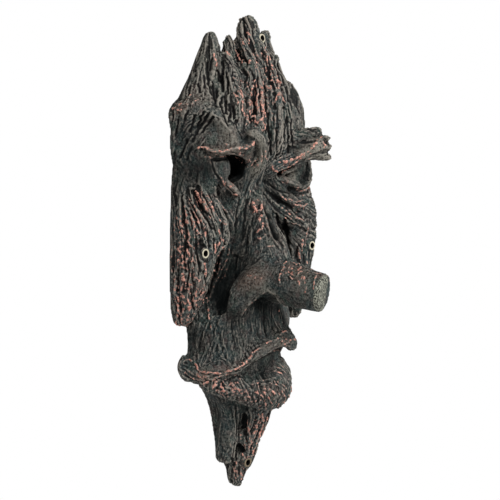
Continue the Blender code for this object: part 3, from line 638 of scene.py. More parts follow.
MUZZLE_CREASES = [
    (1.1, 0.9, 0.7, [(207, 298), (208, 308), (209, 316), (211, 324), (212, 329)]),
    (0.9, 0.9, 0.4, [(279, 309), (279, 317), (280, 325), (282, 331)]),
    (0.6, 0.8, 0.1, [(213, 322), (216, 335), (219, 347), (222, 358)]),
    (0.6, 0.8, 0.1, [(219, 320), (222, 335), (226, 350), (229, 362)]),
    (0.6, 0.8, 0.1, [(227, 322), (229, 335), (232, 348), (235, 360)]),
    (0.6, 0.8, 0.1, [(235, 322), (237, 335), (240, 348), (241, 357)]),
    (0.6, 0.8, 0.2, [(243, 318), (245, 332), (248, 345)]),
    (0.6, 0.8, 0.1, [(251, 312), (252, 326), (254, 340)]),
    (0.6, 0.8, 0.1, [(260, 306), (260, 320), (261, 335)]),
    (0.7, 0.8, 0.1, [(203, 326), (205, 342), (208, 356), (212, 364)]),
    (0.6, 0.8, 0.1, [(268, 304), (267, 318), (268, 332)]),
    (0.6, 0.8, 0.1, [(196, 334), (197, 348), (199, 360)]),
    (-0.8, 0.7, 0.0, [(216, 320), (219, 335), (222, 348), (225, 358)]),
    (-0.8, 0.7, 0.0, [(208, 334), (211, 346), (214, 358)]),
    (-0.8, 0.7, 0.0, [(231, 322), (233, 336), (236, 350)]),
    (-0.8, 0.7, 0.0, [(239, 320), (241, 334), (244, 346)]),
    (-0.8, 0.7, 0.0, [(256, 308), (256, 322), (258, 336)]),
    (-1.0, 0.8, 0.0, [(264, 304), (264, 318), (265, 332)]),
    (-1.0, 0.8, 0.0, [(272, 304), (272, 318), (273, 330)]),
    (-0.9, 0.6, 0.0, [(245, 354), (248, 360)]),
    (-0.9, 0.6, 0.0, [(248, 351), (251, 357)]),
    (-0.9, 0.6, 0.0, [(251, 348), (254, 353)]),
    (-0.9, 0.6, 0.0, [(254, 345), (257, 350)]),
    (-0.9, 0.6, 0.0, [(258, 343), (260, 347)]),
    (-0.7, 0.6, 0.0, [(240, 357), (242, 364)]),
]
LIP_CREASES = [
    (1.1, 0.9, 1.0, [
        (190, 359), (194, 363), (197, 367), (201, 371), (206, 373), (213, 373), (221, 373),
        (228, 371.5),
    ]),
    (1.1, 0.9, 1.0, [
        (228, 371.5), (235, 369), (241, 366), (246, 362), (250, 358), (253, 353), (257, 349.5),
    ]),
    (1.1, 0.9, 1.0, [
        (257, 349.5), (262, 346.5), (267, 343), (271, 341), (276, 339.5), (279, 336), (281, 333),
        (286, 331.5),
    ]),
    (0.8, 0.9, 0.3, [(286, 331.5), (290, 334), (292, 338)]),
    (0.9, 0.9, 0.8, [(185, 372), (190, 376), (195, 379), (203, 380), (211, 379), (218, 377), (226, 375)]),
    (0.7, 0.8, 0.4, [(190, 359), (186, 360), (183, 363), (186, 369), (192, 373), (196, 376)]),
    (0.8, 0.9, 0.8, [(283, 345), (287, 343), (291, 340), (295, 339)]),
    (0.8, 0.9, 0.7, [(270, 352), (276, 350), (283, 351), (290, 349)]),
    (0.9, 1.6, 0.9, [(196, 374), (202, 376), (208, 377)]),
    (1.5, 1.6, 1.0, [(213, 386), (216, 385)]),
    (1.4, 1.4, 1.0, [(221, 387), (224, 391)]),
    (1.5, 1.6, 1.0, [(232, 391), (234, 393)]),
    (1.2, 1.4, 0.9, [(237, 388), (239, 389)]),
    (1.2, 1.4, 1.0, [(231, 382), (233, 386)]),
    (0.9, 0.9, 0.8, [(203, 384), (208, 382)]),
    (0.9, 0.9, 0.8, [(216, 382), (220, 380)]),
    (0.9, 0.9, 0.8, [(226, 387), (231, 389)]),
    (0.8, 0.8, 0.7, [(262, 384), (270, 383), (278, 385), (284, 390)]),
    (0.8, 0.8, 0.8, [(258, 388), (267, 389), (275, 392), (281, 397), (283, 402)]),
    (0.8, 0.8, 0.8, [(256, 392), (262, 396), (265, 402), (266, 409)]),
    (0.8, 0.8, 0.7, [(252, 394), (256, 400), (258, 406), (259, 411)]),
    (0.8, 0.8, 0.7, [(246, 391), (249, 397), (252, 403)]),
    (0.8, 0.8, 0.7, [(264, 392), (269, 398), (272, 404), (271, 410)]),
    (0.8, 0.8, 0.8, [(270, 389), (277, 395), (280, 402), (278, 407)]),
    (0.8, 0.8, 0.7, [(278, 382), (285, 386), (289, 392), (289, 398)]),
    (0.8, 0.8, 0.7, [(280, 378), (287, 381), (291, 386), (291, 391)]),
    (0.8, 0.8, 0.6, [(275, 371), (284, 375), (290, 380)]),
    (0.8, 0.8, 0.6, [(274, 366), (281, 369), (287, 375)]),
    (0.8, 0.8, 0.5, [(272, 360), (279, 364), (284, 369)]),
    (0.8, 0.8, 0.7, [(282, 391), (286, 397), (284, 404)]),
    (0.7, 0.8, 0.7, [(240, 388), (242, 394), (246, 400)]),
    (0.7, 0.8, 0.6, [(252, 384), (258, 383), (266, 379), (276, 378)]),
]
BEARD_CREASES = [
    (1.0, 1.0, 1.0, [(259, 413), (259, 420), (256, 430), (251, 439), (249, 448)]),
    (1.0, 1.0, 1.0, [(262, 414), (263, 424), (260, 434), (256, 444), (253, 453)]),
    (0.9, 1.0, 0.7, [(247, 421), (249, 429), (250, 437), (249, 444)]),
    (0.9, 1.0, 0.6, [(268, 417), (265, 428), (260, 438)]),
    (0.9, 0.9, 0.8, [(236, 462), (236, 469), (237, 478)]),
    (0.8, 0.9, 0.7, [(233, 467), (235, 474), (236, 481)]),
    (0.7, 0.9, 0.6, [(240, 430), (241, 438), (240, 443)]),
    (0.6, 0.9, 0.3, [(231, 433), (231, 446)]),
    (0.8, 0.9, 0.8, [(243, 454), (245, 459), (249, 456), (254, 455)]),
    (0.8, 0.9, 0.9, [(242, 466), (246, 463), (250, 459)]),
    (0.8, 0.9, 0.8, [(241, 472), (241, 479)]),
    (-3.0, 1.8, 0.0, [(244.5, 415), (244.5, 421), (243.5, 427)]),
    (-3.6, 2.4, 0.0, [(240.5, 446), (242.5, 450)]),
    (-1.0, 1.2, 0.0, [(236, 405), (237, 420), (237, 435)]),
    (-1.0, 1.2, 0.0, [(231, 408), (233, 418)]),
    (-1.2, 1.4, 0.0, [(245, 431), (247, 442)]),
    (-1.2, 1.2, 0.0, [(256, 418), (253, 429), (247, 436)]),
    (-1.2, 1.1, 0.0, [(259, 431), (254, 441), (251, 449)]),
    (-1.0, 1.0, 0.0, [(239, 463), (239, 474)]),
]
creases = [
    *BROW_CREASES, *TEMPLE_CREASES, *FOREHEAD_CREASES, *CHEEK_CREASES, *FAR_FOLD_CREASES, *NOSE_CREASES,
    *MUZZLE_CREASES, *LIP_CREASES, *BEARD_CREASES,
]
PIXELS_PER_STEP = 0.7
COPPER_SPILL = 1.3


def sight(across_picture, down_picture):
    """The direction from the camera through a pixel of the photograph."""
    across = (across_picture - PICTURE_PIXELS / 2) / PICTURE_PIXELS * FIELD_WIDTH / CAMERA_DISTANCE
    up = (PICTURE_PIXELS / 2 - down_picture) / PICTURE_PIXELS * FIELD_WIDTH / CAMERA_DISTANCE
    return (camera_turn @ Vector((across, up, -1))).normalized()


def traced(surface, points):
    """Points on the surface under a line drawn over the photograph, in millimetres."""
    found = []
    for (across, down), (next_across, next_down) in zip(points, points[1:]):
        count = max(int(math.hypot(next_across - across, next_down - down) / PIXELS_PER_STEP), 1)
        for i in range(count + 1):
            share = i / count
            way_there = sight(across + (next_across - across) * share, down + (next_down - down) * share)
            hit = surface.ray_cast(camera.location, way_there)[0]
            if hit is not None:
                found.append(hit / MM)
    return found


def lay_creases(surface, at, lines):
    """The height that the lines add at each vertex, their share there, and their copper around them."""
    points, traits = [], []
    for height, half_width, copper_share, line in lines:
        for point in traced(surface, line):
            points.append(point)
            traits.append((height, half_width, copper_share))
    tree = kdtree.KDTree(len(points))
    for index, point in enumerate(points):
        tree.insert(point, index)
    tree.balance()
    near = [tree.find(spot)[1:] for spot in at]
    index = np.array([pair[0] for pair in near])
    gap = np.array([pair[1] for pair in near])
    height, half_width, copper_share = np.array(traits)[index].T
    share = np.exp(-((gap / half_width) ** 2))
    return height * share, share, copper_share * np.exp(-((gap / half_width / COPPER_SPILL) ** 2))


# Dabs of the carver's thumb, of the brush, and of painted light and shade, placed through the camera: pixels
# across and down the photograph, reach in millimetres, and strength
SMOOTH_DABS = [
    (252, 135, 5, 0.9), (257, 139, 4, 0.9), (260, 146, 4.5, 0.9), (260.5, 154, 4.5, 0.9),
    (258, 163, 4.5, 0.9), (255, 171, 4.5, 0.8), (228, 165, 9, 0.8), (290, 173, 7, 0.9),
    (217, 172, 4, 0.6), (226, 176, 6, 0.7), (250, 283, 12, 0.7), (244, 300, 9, 0.7), (262, 284, 8, 0.6),
    (225, 138, 9, 0.4), (196, 168, 10, 0.4), (206, 168, 8, 0.4), (300, 300, 14, 0.5),
    (284, 296, 8, 0.5), (298, 88, 12, 0.5), (306, 104, 10, 0.5), (215, 410, 12, 0.3),
    (222, 440, 12, 0.3), (180, 380, 8, 0.4), (306, 152, 10, 0.8), (318, 149, 10, 0.8),
    (312, 136, 8, 0.5), (285, 173, 4, 0.8), (215, 130, 9, 0.3),
]
# Painted shade in the hollows under the brows, beside the nose, under its wing, the lips and the beard, and
# on the face's side turned from the light
SHADE_DABS = [
    (200, 150, 8, 0.3), (188, 140, 12, 0.5), (180, 165, 14, 0.45), (198, 168, 12, 0.7),
    (208, 168, 8, 0.8), (187, 180, 12, 0.35), (176, 190, 10, 0.25), (240, 160, 9, 0.9),
    (240, 172, 10, 1.0), (238, 184, 9, 0.8), (246, 140, 6, 1.0), (306, 167, 4, 1.0),
    (307, 175, 4.5, 1.0), (303, 183, 4, 1.0), (303, 173, 3.5, 0.9), (304, 179, 3.5, 1.0),
    (266, 178, 7, 0.8), (274, 181, 5, 0.6), (286, 192, 6, 0.5), (272, 188, 8, 0.6), (271, 216, 5, 1.0),
    (274, 226, 5, 1.0), (277, 236, 5, 1.0), (287, 230, 4, 0.9), (288, 242, 4, 0.9), (264, 190, 6, 0.6),
    (244, 215, 10, 0.5), (242, 235, 11, 0.7), (240, 255, 11, 0.7), (250, 262, 9, 0.5),
    (232, 268, 10, 0.8), (224, 280, 10, 1.0), (218, 292, 9, 1.0), (222, 304, 10, 1.0),
    (234, 318, 8, 0.8), (228, 296, 7, 0.8), (257, 306, 9, 1.0), (267, 305, 9, 1.0), (278, 309, 8, 1.0),
    (264, 318, 9, 0.7), (250, 318, 7, 0.6), (262, 298, 5, 0.8), (271, 298, 5, 0.8), (284, 318, 7, 0.9),
    (235, 338, 22, 0.42), (262, 335, 14, 0.4), (266, 392, 20, 0.3), (222, 168, 9, 0.35),
    (250, 290, 12, 0.25), (256, 232, 16, 0.25), (292, 205, 18, 0.2), (246, 152, 4, 0.5),
    (264, 148, 2.5, 0.6), (290, 330, 6, 0.8), (192, 336, 10, 0.6), (194, 350, 9, 0.5),
    (242, 278, 5, 0.3), (250, 374, 7, 0.5), (262, 366, 8, 0.8), (272, 358, 8, 0.9), (232, 379, 5, 0.6),
    (262, 374, 7, 0.6), (215, 398, 9, 0.6), (230, 404, 8, 0.6), (244, 410, 6, 0.8), (216, 412, 9, 0.4),
    (244.5, 421, 3.5, 1.0), (241, 448, 4.5, 1.0), (219, 440, 12, 0.3), (306, 134, 9, 0.4),
    (296, 148, 8, 0.4), (185, 128, 9, 0.5), (205, 124, 8, 0.3), (259, 404, 5, 0.2), (222, 180, 4, 0.7),
    (232, 200, 8, 0.4), (292, 300, 10, 0.2), (222, 64, 5, 0.3), (210, 66, 6, 0.2), (272, 146, 7, 0.3),
    (182, 330, 6, 0.3),
]
# Brownish tints; those on the brow's bulge and on top of the nose's wing are painted highlights
WARM_AND_HIGHLIGHT_DABS = [
    (180, 108, 9, 0.8), (196, 100, 12, 0.5), (190, 88, 12, 0.3), (205, 153, 6, 0.6), (217, 154, 6, 0.9),
    (228, 153, 6, 0.9), (238, 151, 6, 0.9), (250, 156, 6, 0.7), (228, 134, 9, 0.7), (235, 142, 6, 0.6),
    (258, 142, 5, 0.8), (261, 156, 5, 0.7), (257, 170, 6, 0.5), (230, 186, 7, 0.9), (236, 194, 5, 1.0),
    (318, 144, 7, 0.9), (305, 154, 7, 0.6), (322, 154, 7, 0.4), (290, 172, 7, 0.9), (298, 188, 6, 0.6),
    (286, 174, 5, 0.8), (252, 277, 9, 1.0), (246, 280, 10, 1.0), (256, 282, 8, 0.7), (240, 157, 7, 0.9),
    (290, 173, 6, 0.8), (262, 278, 7, 0.5), (300, 272, 12, 0.6), (320, 275, 7, 0.5), (205, 376, 9, 0.8),
    (225, 373, 7, 0.6), (268, 346, 7, 0.6), (285, 342, 9, 0.7), (245, 402, 7, 0.7), (235, 397, 6, 0.4),
    (265, 395, 14, 0.4), (255, 430, 10, 0.4), (240, 470, 8, 0.3), (257, 206, 8, 0.4),
    (262, 225, 8, 0.3), (275, 245, 9, 0.4), (240, 343, 9, 0.3), (214, 65, 9, 0.5), (240, 37, 8, 0.5),
    (250, 100, 16, 0.3), (200, 290, 16, 0.3), (205, 205, 16, 0.3),
]
# Pale rubbed paint, partly painted highlights on tops and edges where the light falls, as on the brow's
# bulge and scroll, the far brow and the rim under the nose's wing
PALE_AND_HIGHLIGHT_DABS = [
    (251, 134, 5, 1.0), (257, 138, 5, 1.0), (260, 146, 6, 1.0), (260.5, 154, 6, 1.0),
    (258, 163, 6, 1.0), (255, 171, 6, 1.0), (252, 179, 5, 0.5), (286, 172, 4, 0.5), (290, 176, 5, 0.6),
    (216, 151, 3, 1.0), (224, 151.5, 3, 0.8), (206, 148, 2.5, 0.5), (228, 134, 9, 0.5),
    (233, 141, 6, 0.4), (220, 128, 8, 0.3), (212, 115, 6, 0.4), (222, 120, 6, 0.4),
    (245, 309, 3.5, 0.7), (250, 303, 3.5, 0.7), (256, 297, 3.5, 0.8), (262, 292.5, 3.5, 0.8),
    (269, 290.5, 3.5, 0.8), (275, 294, 3.5, 0.7), (281, 300, 3.5, 0.6), (262, 285, 8, 0.3),
    (318, 146, 9, 0.95), (308, 153, 7, 0.9), (325, 152, 8, 0.95), (300, 158, 6, 0.6),
    (327, 158, 6, 0.8), (291, 171, 6, 0.9), (293, 177, 4, 0.8), (311, 178, 2.5, 0.9),
    (309, 186, 2.5, 0.9), (313, 170, 2.5, 0.8), (230, 104, 9, 0.3), (275, 55, 8, 0.3),
    (240, 30, 6, 0.4), (300, 96, 9, 0.3), (205, 45, 12, 0.6), (200, 65, 14, 0.5), (225, 55, 8, 0.5),
    (215, 85, 14, 0.4), (205, 100, 10, 0.4), (230, 90, 8, 0.4), (248, 22, 8, 0.6), (252, 30, 8, 0.4),
    (265, 38, 7, 0.4), (300, 285, 10, 0.4), (308, 298, 9, 0.3), (210, 376, 8, 0.4), (283, 345, 8, 0.4),
    (265, 347, 5, 0.5), (184, 365, 6, 0.2), (255, 392, 9, 0.3), (272, 395, 9, 0.3),
    (235, 430, 10, 0.35), (256, 425, 8, 0.3), (228, 445, 8, 0.4), (200, 205, 12, 0.4),
    (200, 225, 10, 0.3), (215, 235, 8, 0.4), (229, 235, 5, 0.5), (300, 205, 8, 0.3), (295, 216, 6, 0.4),
    (306, 215, 6, 0.4), (272, 240, 6, 0.3), (262, 238, 8, 0.2), (222, 168, 6, 0.2),
]
COPPER_DABS = [
    (247, 96, 14, 0.9), (262, 112, 13, 0.7), (252, 118, 10, 0.8), (272, 80, 12, 0.5),
    (252, 60, 13, 0.4), (268, 56, 9, 0.6), (240, 44, 8, 0.4), (178, 108, 7, 0.6), (186, 225, 13, 0.8),
    (184, 255, 13, 0.8), (183, 290, 14, 0.9), (197, 296, 12, 0.8), (182, 315, 10, 0.9),
    (205, 200, 14, 0.4), (222, 250, 10, 0.6), (218, 270, 8, 0.6), (240, 153, 7, 0.9),
    (250, 160, 7, 1.0), (241, 160, 6, 0.9), (257, 163, 5, 0.8), (212, 155, 6, 0.6), (230, 187, 6, 0.8),
    (318, 142, 6, 0.7), (290, 166, 8, 0.6), (300, 206, 9, 0.4), (294, 216, 8, 0.4), (257, 206, 6, 0.9),
    (262, 222, 7, 0.6), (298, 270, 10, 0.8), (288, 270, 7, 0.8), (318, 272, 6, 0.5), (205, 376, 8, 0.8),
    (240, 366, 6, 0.6), (285, 343, 8, 0.7), (225, 388, 9, 0.8), (236, 390, 7, 0.9), (262, 396, 14, 0.4),
    (280, 390, 10, 0.35), (258, 425, 9, 0.8), (250, 445, 8, 0.8), (240, 470, 9, 0.6),
    (302, 248, 7, 0.5), (283, 180, 6, 0.5), (255, 207, 5, 1.0), (265, 155, 4, 0.9), (237, 387, 6, 0.8),
    (214, 385, 5, 0.8), (298, 189, 5, 0.8), (284, 163, 5, 0.9),
]


def dabbed(surface, at, dabs):
    """How much each vertex takes from the dabs."""
    amount = np.zeros(len(at))
    for across_picture, down_picture, reach, strength in dabs:
        hit = surface.ray_cast(camera.location, sight(across_picture, down_picture))[0]
        if hit is not None:
            gap = np.linalg.norm(at - np.array(hit / MM), axis=1)
            amount = 1 - (1 - amount) * (1 - strength * np.exp(-((gap / reach) ** 2)))
    return amount


# The casting's relief
# Gouges, nicks and fine slits run along the grain, with raised veins and hair-fine fibres between them.
# The real bark was carved in clay, so smooth passages lie where a thumb has wiped it.
WANDER_CELL = 9.0
WANDER = 1.8
WANDER_SEEDS = (11, 12, 13)
RAGGED_CELL = 2.6
RAGGED = 0.7
RAGGED_SEEDS = (21, 22, 23)
BROKEN_CELL = 3.2
BROKEN_SEED = 31
LUMP_CELL = 8.0
LUMP_SEED = 5
GRIT_CELL = 1.4
GRIT_SEED = 6
# Width across the grain, length along it and seed of each kind of streak
GOUGE_STREAK = (4.6, 26, 1)
NICK_STREAK = (2.4, 15, 2)
FIBRE_STREAK = (1.4, 9, 3)
VEIN_STREAK = (3.6, 13, 4)
SLIT_STREAK = (1.9, 10, 7)
GOUGE_DEPTH = 1.5
NICK_DEPTH = 0.7
SLIT_DEPTH = 0.8
VEIN_HEIGHT = 0.55
FIBRE_HEIGHT = 0.55
LUMP_HEIGHT = 0.5
GRIT_HEIGHT = 0.14
VEIN_WIDTH = 0.28
VEIN_COVER = 0.6
LEAST_LUMP = 0.1
# Where each kind of cut starts in its streaks, and how far on from there it is full
GOUGE_RAMP = (0.45, 0.7)
NICK_RAMP = (0.4, 0.8)
SLIT_RAMP = (0.5, 0.5)


def ramp(values, start, length):
    """Nothing up to the start, rising to one at the start plus the length."""
    return np.clip((values - start) / length, 0, 1)


def shaken(at, cell, seeds, reach):
    """Small random moves in all three directions."""
    return np.stack([speckle(at, cell, seed) for seed in seeds], axis=1) * reach


relief = Skin(casting)
facing = one_long(relief.evened(relief.normals(), 4))
way, trait = comb_the_grain(relief, facing)
way = one_long(relief.evened(way, 3))
furrow, fibre, board_copper = trait.T
cut_in = np.clip(furrow, 0, 1)

loose = relief.at + shaken(relief.at, WANDER_CELL, WANDER_SEEDS, WANDER)
gouges = ramp(streaks(loose, way, *GOUGE_STREAK), *GOUGE_RAMP)
nicks = ramp(streaks(loose, way, *NICK_STREAK), *NICK_RAMP)
slits = ramp(streaks(loose, way, *SLIT_STREAK), *SLIT_RAMP)
hairs = streaks(loose, way, *FIBRE_STREAK)
lumps = speckle(relief.at, LUMP_CELL, LUMP_SEED)
veins = np.exp(-((streaks(loose, way, *VEIN_STREAK) / VEIN_WIDTH) ** 2))
veins *= np.clip(VEIN_COVER + lumps, 0, 1)

height = -furrow * (GOUGE_DEPTH * gouges + NICK_DEPTH * nicks) - SLIT_DEPTH * cut_in * slits
height += VEIN_HEIGHT * furrow * veins + FIBRE_HEIGHT * fibre * hairs
height += GRIT_HEIGHT * speckle(relief.at, GRIT_CELL, GRIT_SEED)
height += LUMP_HEIGHT * lumps * np.clip(furrow, LEAST_LUMP, 1)

# The traced creases, their edges ragged and their crests broken into lengths
CREST_MIDDLE = 0.85
CREST_SWING = 0.9
LOWEST_CREST = 0.15
HIGHEST_CREST = 1.5
MOST_CREST_COPPER = 1.1
WIPED_AWAY = 0.85
LOST_UNDER_CREST = 0.6

surface = BVHTree.FromObject(casting, bpy.context.evaluated_depsgraph_get())
ragged_at = relief.at + shaken(relief.at, RAGGED_CELL, RAGGED_SEEDS, RAGGED)
crests = [crease for crease in creases if crease[0] > 0]
grooves = [crease for crease in creases if crease[0] < 0]
crest_height, crest_share, crest_copper = lay_creases(surface, ragged_at, crests)
groove_height, groove_share, _ = lay_creases(surface, ragged_at, grooves)
broken = CREST_MIDDLE + CREST_SWING * speckle(relief.at, BROKEN_CELL, BROKEN_SEED)
broken = np.clip(broken, LOWEST_CREST, HIGHEST_CREST)
crest_height *= broken
crest_copper *= np.clip(broken, 0, MOST_CREST_COPPER)

smooth = dabbed(surface, relief.at, SMOOTH_DABS)
height *= 1 - WIPED_AWAY * smooth
height *= 1 - LOST_UNDER_CREST * np.clip(crest_height, 0, 1)
height += crest_height + groove_height

# How deep into a groove, gouge or slit each vertex lies, for the painted shade in them
FULL_GROOVE = 1.5
LEAST_SHARE = 1e-6
GRAIN_CUT = 0.6
CREST_COVER = 0.8

groove_depth = np.clip(-groove_height / groove_share.clip(LEAST_SHARE) / FULL_GROOVE, 0, 1)
cut = np.maximum(groove_share * groove_depth, gouges * furrow * GRAIN_CUT)
cut = np.maximum(cut, slits * cut_in * GRAIN_CUT * (1 - smooth))
cut = np.clip(cut * (1 - CREST_COVER * crest_share), 0, 1)
shade_dabs = dabbed(surface, relief.at, SHADE_DABS)
warm_and_highlight_dabs = dabbed(surface, relief.at, WARM_AND_HIGHLIGHT_DABS)
pale_and_highlight_dabs = dabbed(surface, relief.at, PALE_AND_HIGHLIGHT_DABS)
copper_dabs = dabbed(surface, relief.at, COPPER_DABS)

# No bark at the screw holes, each given by across and up
SCREW_HOLES = {"forehead": (14.5, 397.5), "near cheek": (-68, 212), "far cheek": (70, 212), "chin": (-5, 22)}
BARE_RIM = 4.6
BARE_RIM_FADE = 2.5
from_hole = np.full(len(relief.at), np.inf)
for across, up in SCREW_HOLES.values():
    gap = np.hypot(relief.at[:, 0] - across, relief.at[:, 2] - (up - MIDDLE_HEIGHT))
    from_hole = np.minimum(from_hole, gap)
height *= ramp(from_hole, BARE_RIM, BARE_RIM_FADE)

# Nor on the sawn end of the stub
STUB_END = np.array((8, -99, 177 - MIDDLE_HEIGHT))
STUB_WAY = np.array((0.159, -0.971, -0.175))
SAWN_EDGE = 0.8
SAWN_FADE = 1.5
height *= ramp(-((relief.at - STUB_END) @ STUB_WAY), SAWN_EDGE, SAWN_FADE)

# The flat back keeps its face
BACK_EDGE = 1.0
BACK_FADE = 3.0
height *= ramp(-relief.at[:, 1], BACK_EDGE, BACK_FADE)
relief.at += facing * height[:, None]

BOX_CLEARANCE = 0.12
low = np.array(cad_low) / MM + BOX_CLEARANCE
high = np.array(cad_high) / MM - BOX_CLEARANCE
high[1] = 0.0
relief.at = np.clip(relief.at, low, high)
relief.store()


# The casting's paint
# Dark green-grey paint all over, pale crests that are partly painted highlight, painted shade over a black
# wash in the hollows, and copper rubbed over the ridges with a nearly dry brush. What the paint follows is
# measured here and kept on the mesh.
MOST_TRIANGLES = 196000
LEVEL = 0.5
FINE_ROUNDS = 4
FINE_GAIN = 2.2
BROAD_ROUNDS = 20
BROAD_GAIN = 0.6
BOARD_COPPER = 0.15
DAB_COPPER = 0.6
CREST_COPPER = 1.1
SHADE_REACH = 45 * MM
SHADE_RAYS = 36
SHADE_LIFT = 0.6 * MM
GRAZING = 0.15


def measure_ridges(skin, rounds):
    """How far each vertex stands proud of the skin around it, in millimetres."""
    level = skin.evened(skin.at, rounds)
    return np.einsum("ij,ij->i", skin.at - level, skin.normals())


def keep_value(mesh, name, values):
    """Stores one number for each vertex, for the paint to read."""
    layer = mesh.attributes.new(name, "FLOAT", "POINT")
    layer.data.foreach_set("value", np.clip(values, -10, 10).astype(np.float32))


keep_value(relief.mesh, "ridge", LEVEL + FINE_GAIN * measure_ridges(relief, FINE_ROUNDS))
keep_value(relief.mesh, "swell", LEVEL + BROAD_GAIN * measure_ridges(relief, BROAD_ROUNDS))
keep_value(relief.mesh, "cut", cut)
keep_value(relief.mesh, "dark", shade_dabs)
keep_value(relief.mesh, "warm", warm_and_highlight_dabs)
keep_value(relief.mesh, "pale", pale_and_highlight_dabs)
brushed = np.maximum(BOARD_COPPER * board_copper + DAB_COPPER * copper_dabs, CREST_COPPER * crest_copper)
keep_value(relief.mesh, "copper", np.clip(brushed, 0, 1))

thin = casting.modifiers.new("Fewer faces", "DECIMATE")
casting.data.update()
triangles = sum(len(face.vertices) - 2 for face in casting.data.polygons)
thin.ratio = min(1.0, MOST_TRIANGLES / triangles)
thin.use_collapse_triangulate = True
finish_modifiers(casting)
bpy.ops.object.shade_smooth()


def measure_shade(body):
    """The share of the sky that is hidden from each vertex by the body itself."""
    surface = BVHTree.FromObject(body, bpy.context.evaluated_depsgraph_get())
    turn = math.pi * (3 - math.sqrt(5))
    rays = []
    for i in range(SHADE_RAYS):
        level = 1 - 2 * (i + 0.5) / SHADE_RAYS
        ring = math.sqrt(1 - level * level)
        rays.append((ring * math.cos(turn * i), ring * math.sin(turn * i), level))
    vectors = [Vector(ray) for ray in rays]
    finished = Skin(body)
    open_to = finished.normals() @ np.array(rays).T
    shade = np.zeros(len(open_to))
    for index, vertex in enumerate(body.data.vertices):
        start = vertex.co + vertex.normal * SHADE_LIFT
        total, hidden = 0.0, 0.0
        for ray in np.nonzero(open_to[index] > GRAZING)[0]:
            weight = open_to[index, ray]
            total += weight
            if surface.ray_cast(start, vectors[ray], SHADE_REACH)[0] is not None:
                hidden += weight
        shade[index] = hidden / max(total, 0.001)
    return finished.evened(shade, 1)


keep_value(casting.data, "shade", measure_shade(casting))

bark = bpy.data.materials.new("Painted bark")
bark.use_nodes = True
nodes = bark.node_tree.nodes
links = bark.node_tree.links
shader = nodes["Principled BSDF"]
here = nodes.new("ShaderNodeTexCoord").outputs["Object"]


def attribute(name):
    """A number that was kept on the mesh."""
    node = nodes.new("ShaderNodeAttribute")
    node.attribute_name = name
    return node.outputs["Fac"]


def math_node(operation, *values):
    """Arithmetic on sockets and plain numbers."""
    node = nodes.new("ShaderNodeMath")
    node.operation = operation
    for socket, value in zip(node.inputs, values):
        if isinstance(value, (int, float)):
            socket.default_value = value
        else:
            links.new(value, socket)
    return node.outputs[0]


def vector_math(operation, first, second):
    """Arithmetic on a socket and a fixed vector."""
    node = nodes.new("ShaderNodeVectorMath")
    node.operation = operation
    links.new(first, node.inputs[0])
    node.inputs[1].default_value = second
    return node


def spread(value, low, high, shape="SMOOTHSTEP"):
    """The value, spread from nothing at low to one at high."""
    node = nodes.new("ShaderNodeMapRange")
    node.interpolation_type = shape
    links.new(value, node.inputs["Value"])
    node.inputs["From Min"].default_value = low
    node.inputs["From Max"].default_value = high
    return node.outputs["Result"]


def noise(scale, detail=3.0, roughness=0.6, place_in=None):
    """Random values through the paint."""
    node = nodes.new("ShaderNodeTexNoise")
    node.inputs["Scale"].default_value = scale
    node.inputs["Detail"].default_value = detail
    node.inputs["Roughness"].default_value = roughness
    links.new(place_in or here, node.inputs["Vector"])
    return node.outputs["Fac"]


def mix(share, first, second):
    """The first colour, giving way to the second by the share."""
    node = nodes.new("ShaderNodeMix")
    node.data_type = "RGBA"
    links.new(share, node.inputs["Factor"])
    for socket, value in ((node.inputs[6], first), (node.inputs[7], second)):
        if isinstance(value, tuple):
            socket.default_value = value
        else:
            links.new(value, socket)
    return node.outputs[2]


# Coats of paint, from the first to the last, with painted highlights on crests and tops and painted shade in
# hollows
BLUE_GREY = (0.022, 0.037, 0.038, 1)
GREEN_GREY = (0.044, 0.042, 0.037, 1)
RED_BROWN = (0.075, 0.045, 0.042, 1)
MOSS = (0.026, 0.052, 0.043, 1)
WARM_BROWN = (0.092, 0.060, 0.045, 1)
PALE_TAN_AND_HIGHLIGHT = (0.165, 0.155, 0.128, 1)
GRIT_GREY = (0.155, 0.152, 0.136, 1)
GRAIN_GREY = (0.155, 0.150, 0.134, 1)
RIDGE_HIGHLIGHT_GREY = (0.195, 0.178, 0.152, 1)
BLACK_WASH_AND_SHADE = (0.003, 0.004, 0.004, 1)
HOLLOW_SHADE_BLACK = (0.003, 0.003, 0.003, 1)
SHADE_BLACK = (0.002, 0.002, 0.002, 1)
SHADE_DAB_BLACK = (0.002, 0.003, 0.003, 1)
STREAK_SQUEEZE = (1.0, 1.0, 0.16)
LINEAR_COATS = ("warm", "dark")
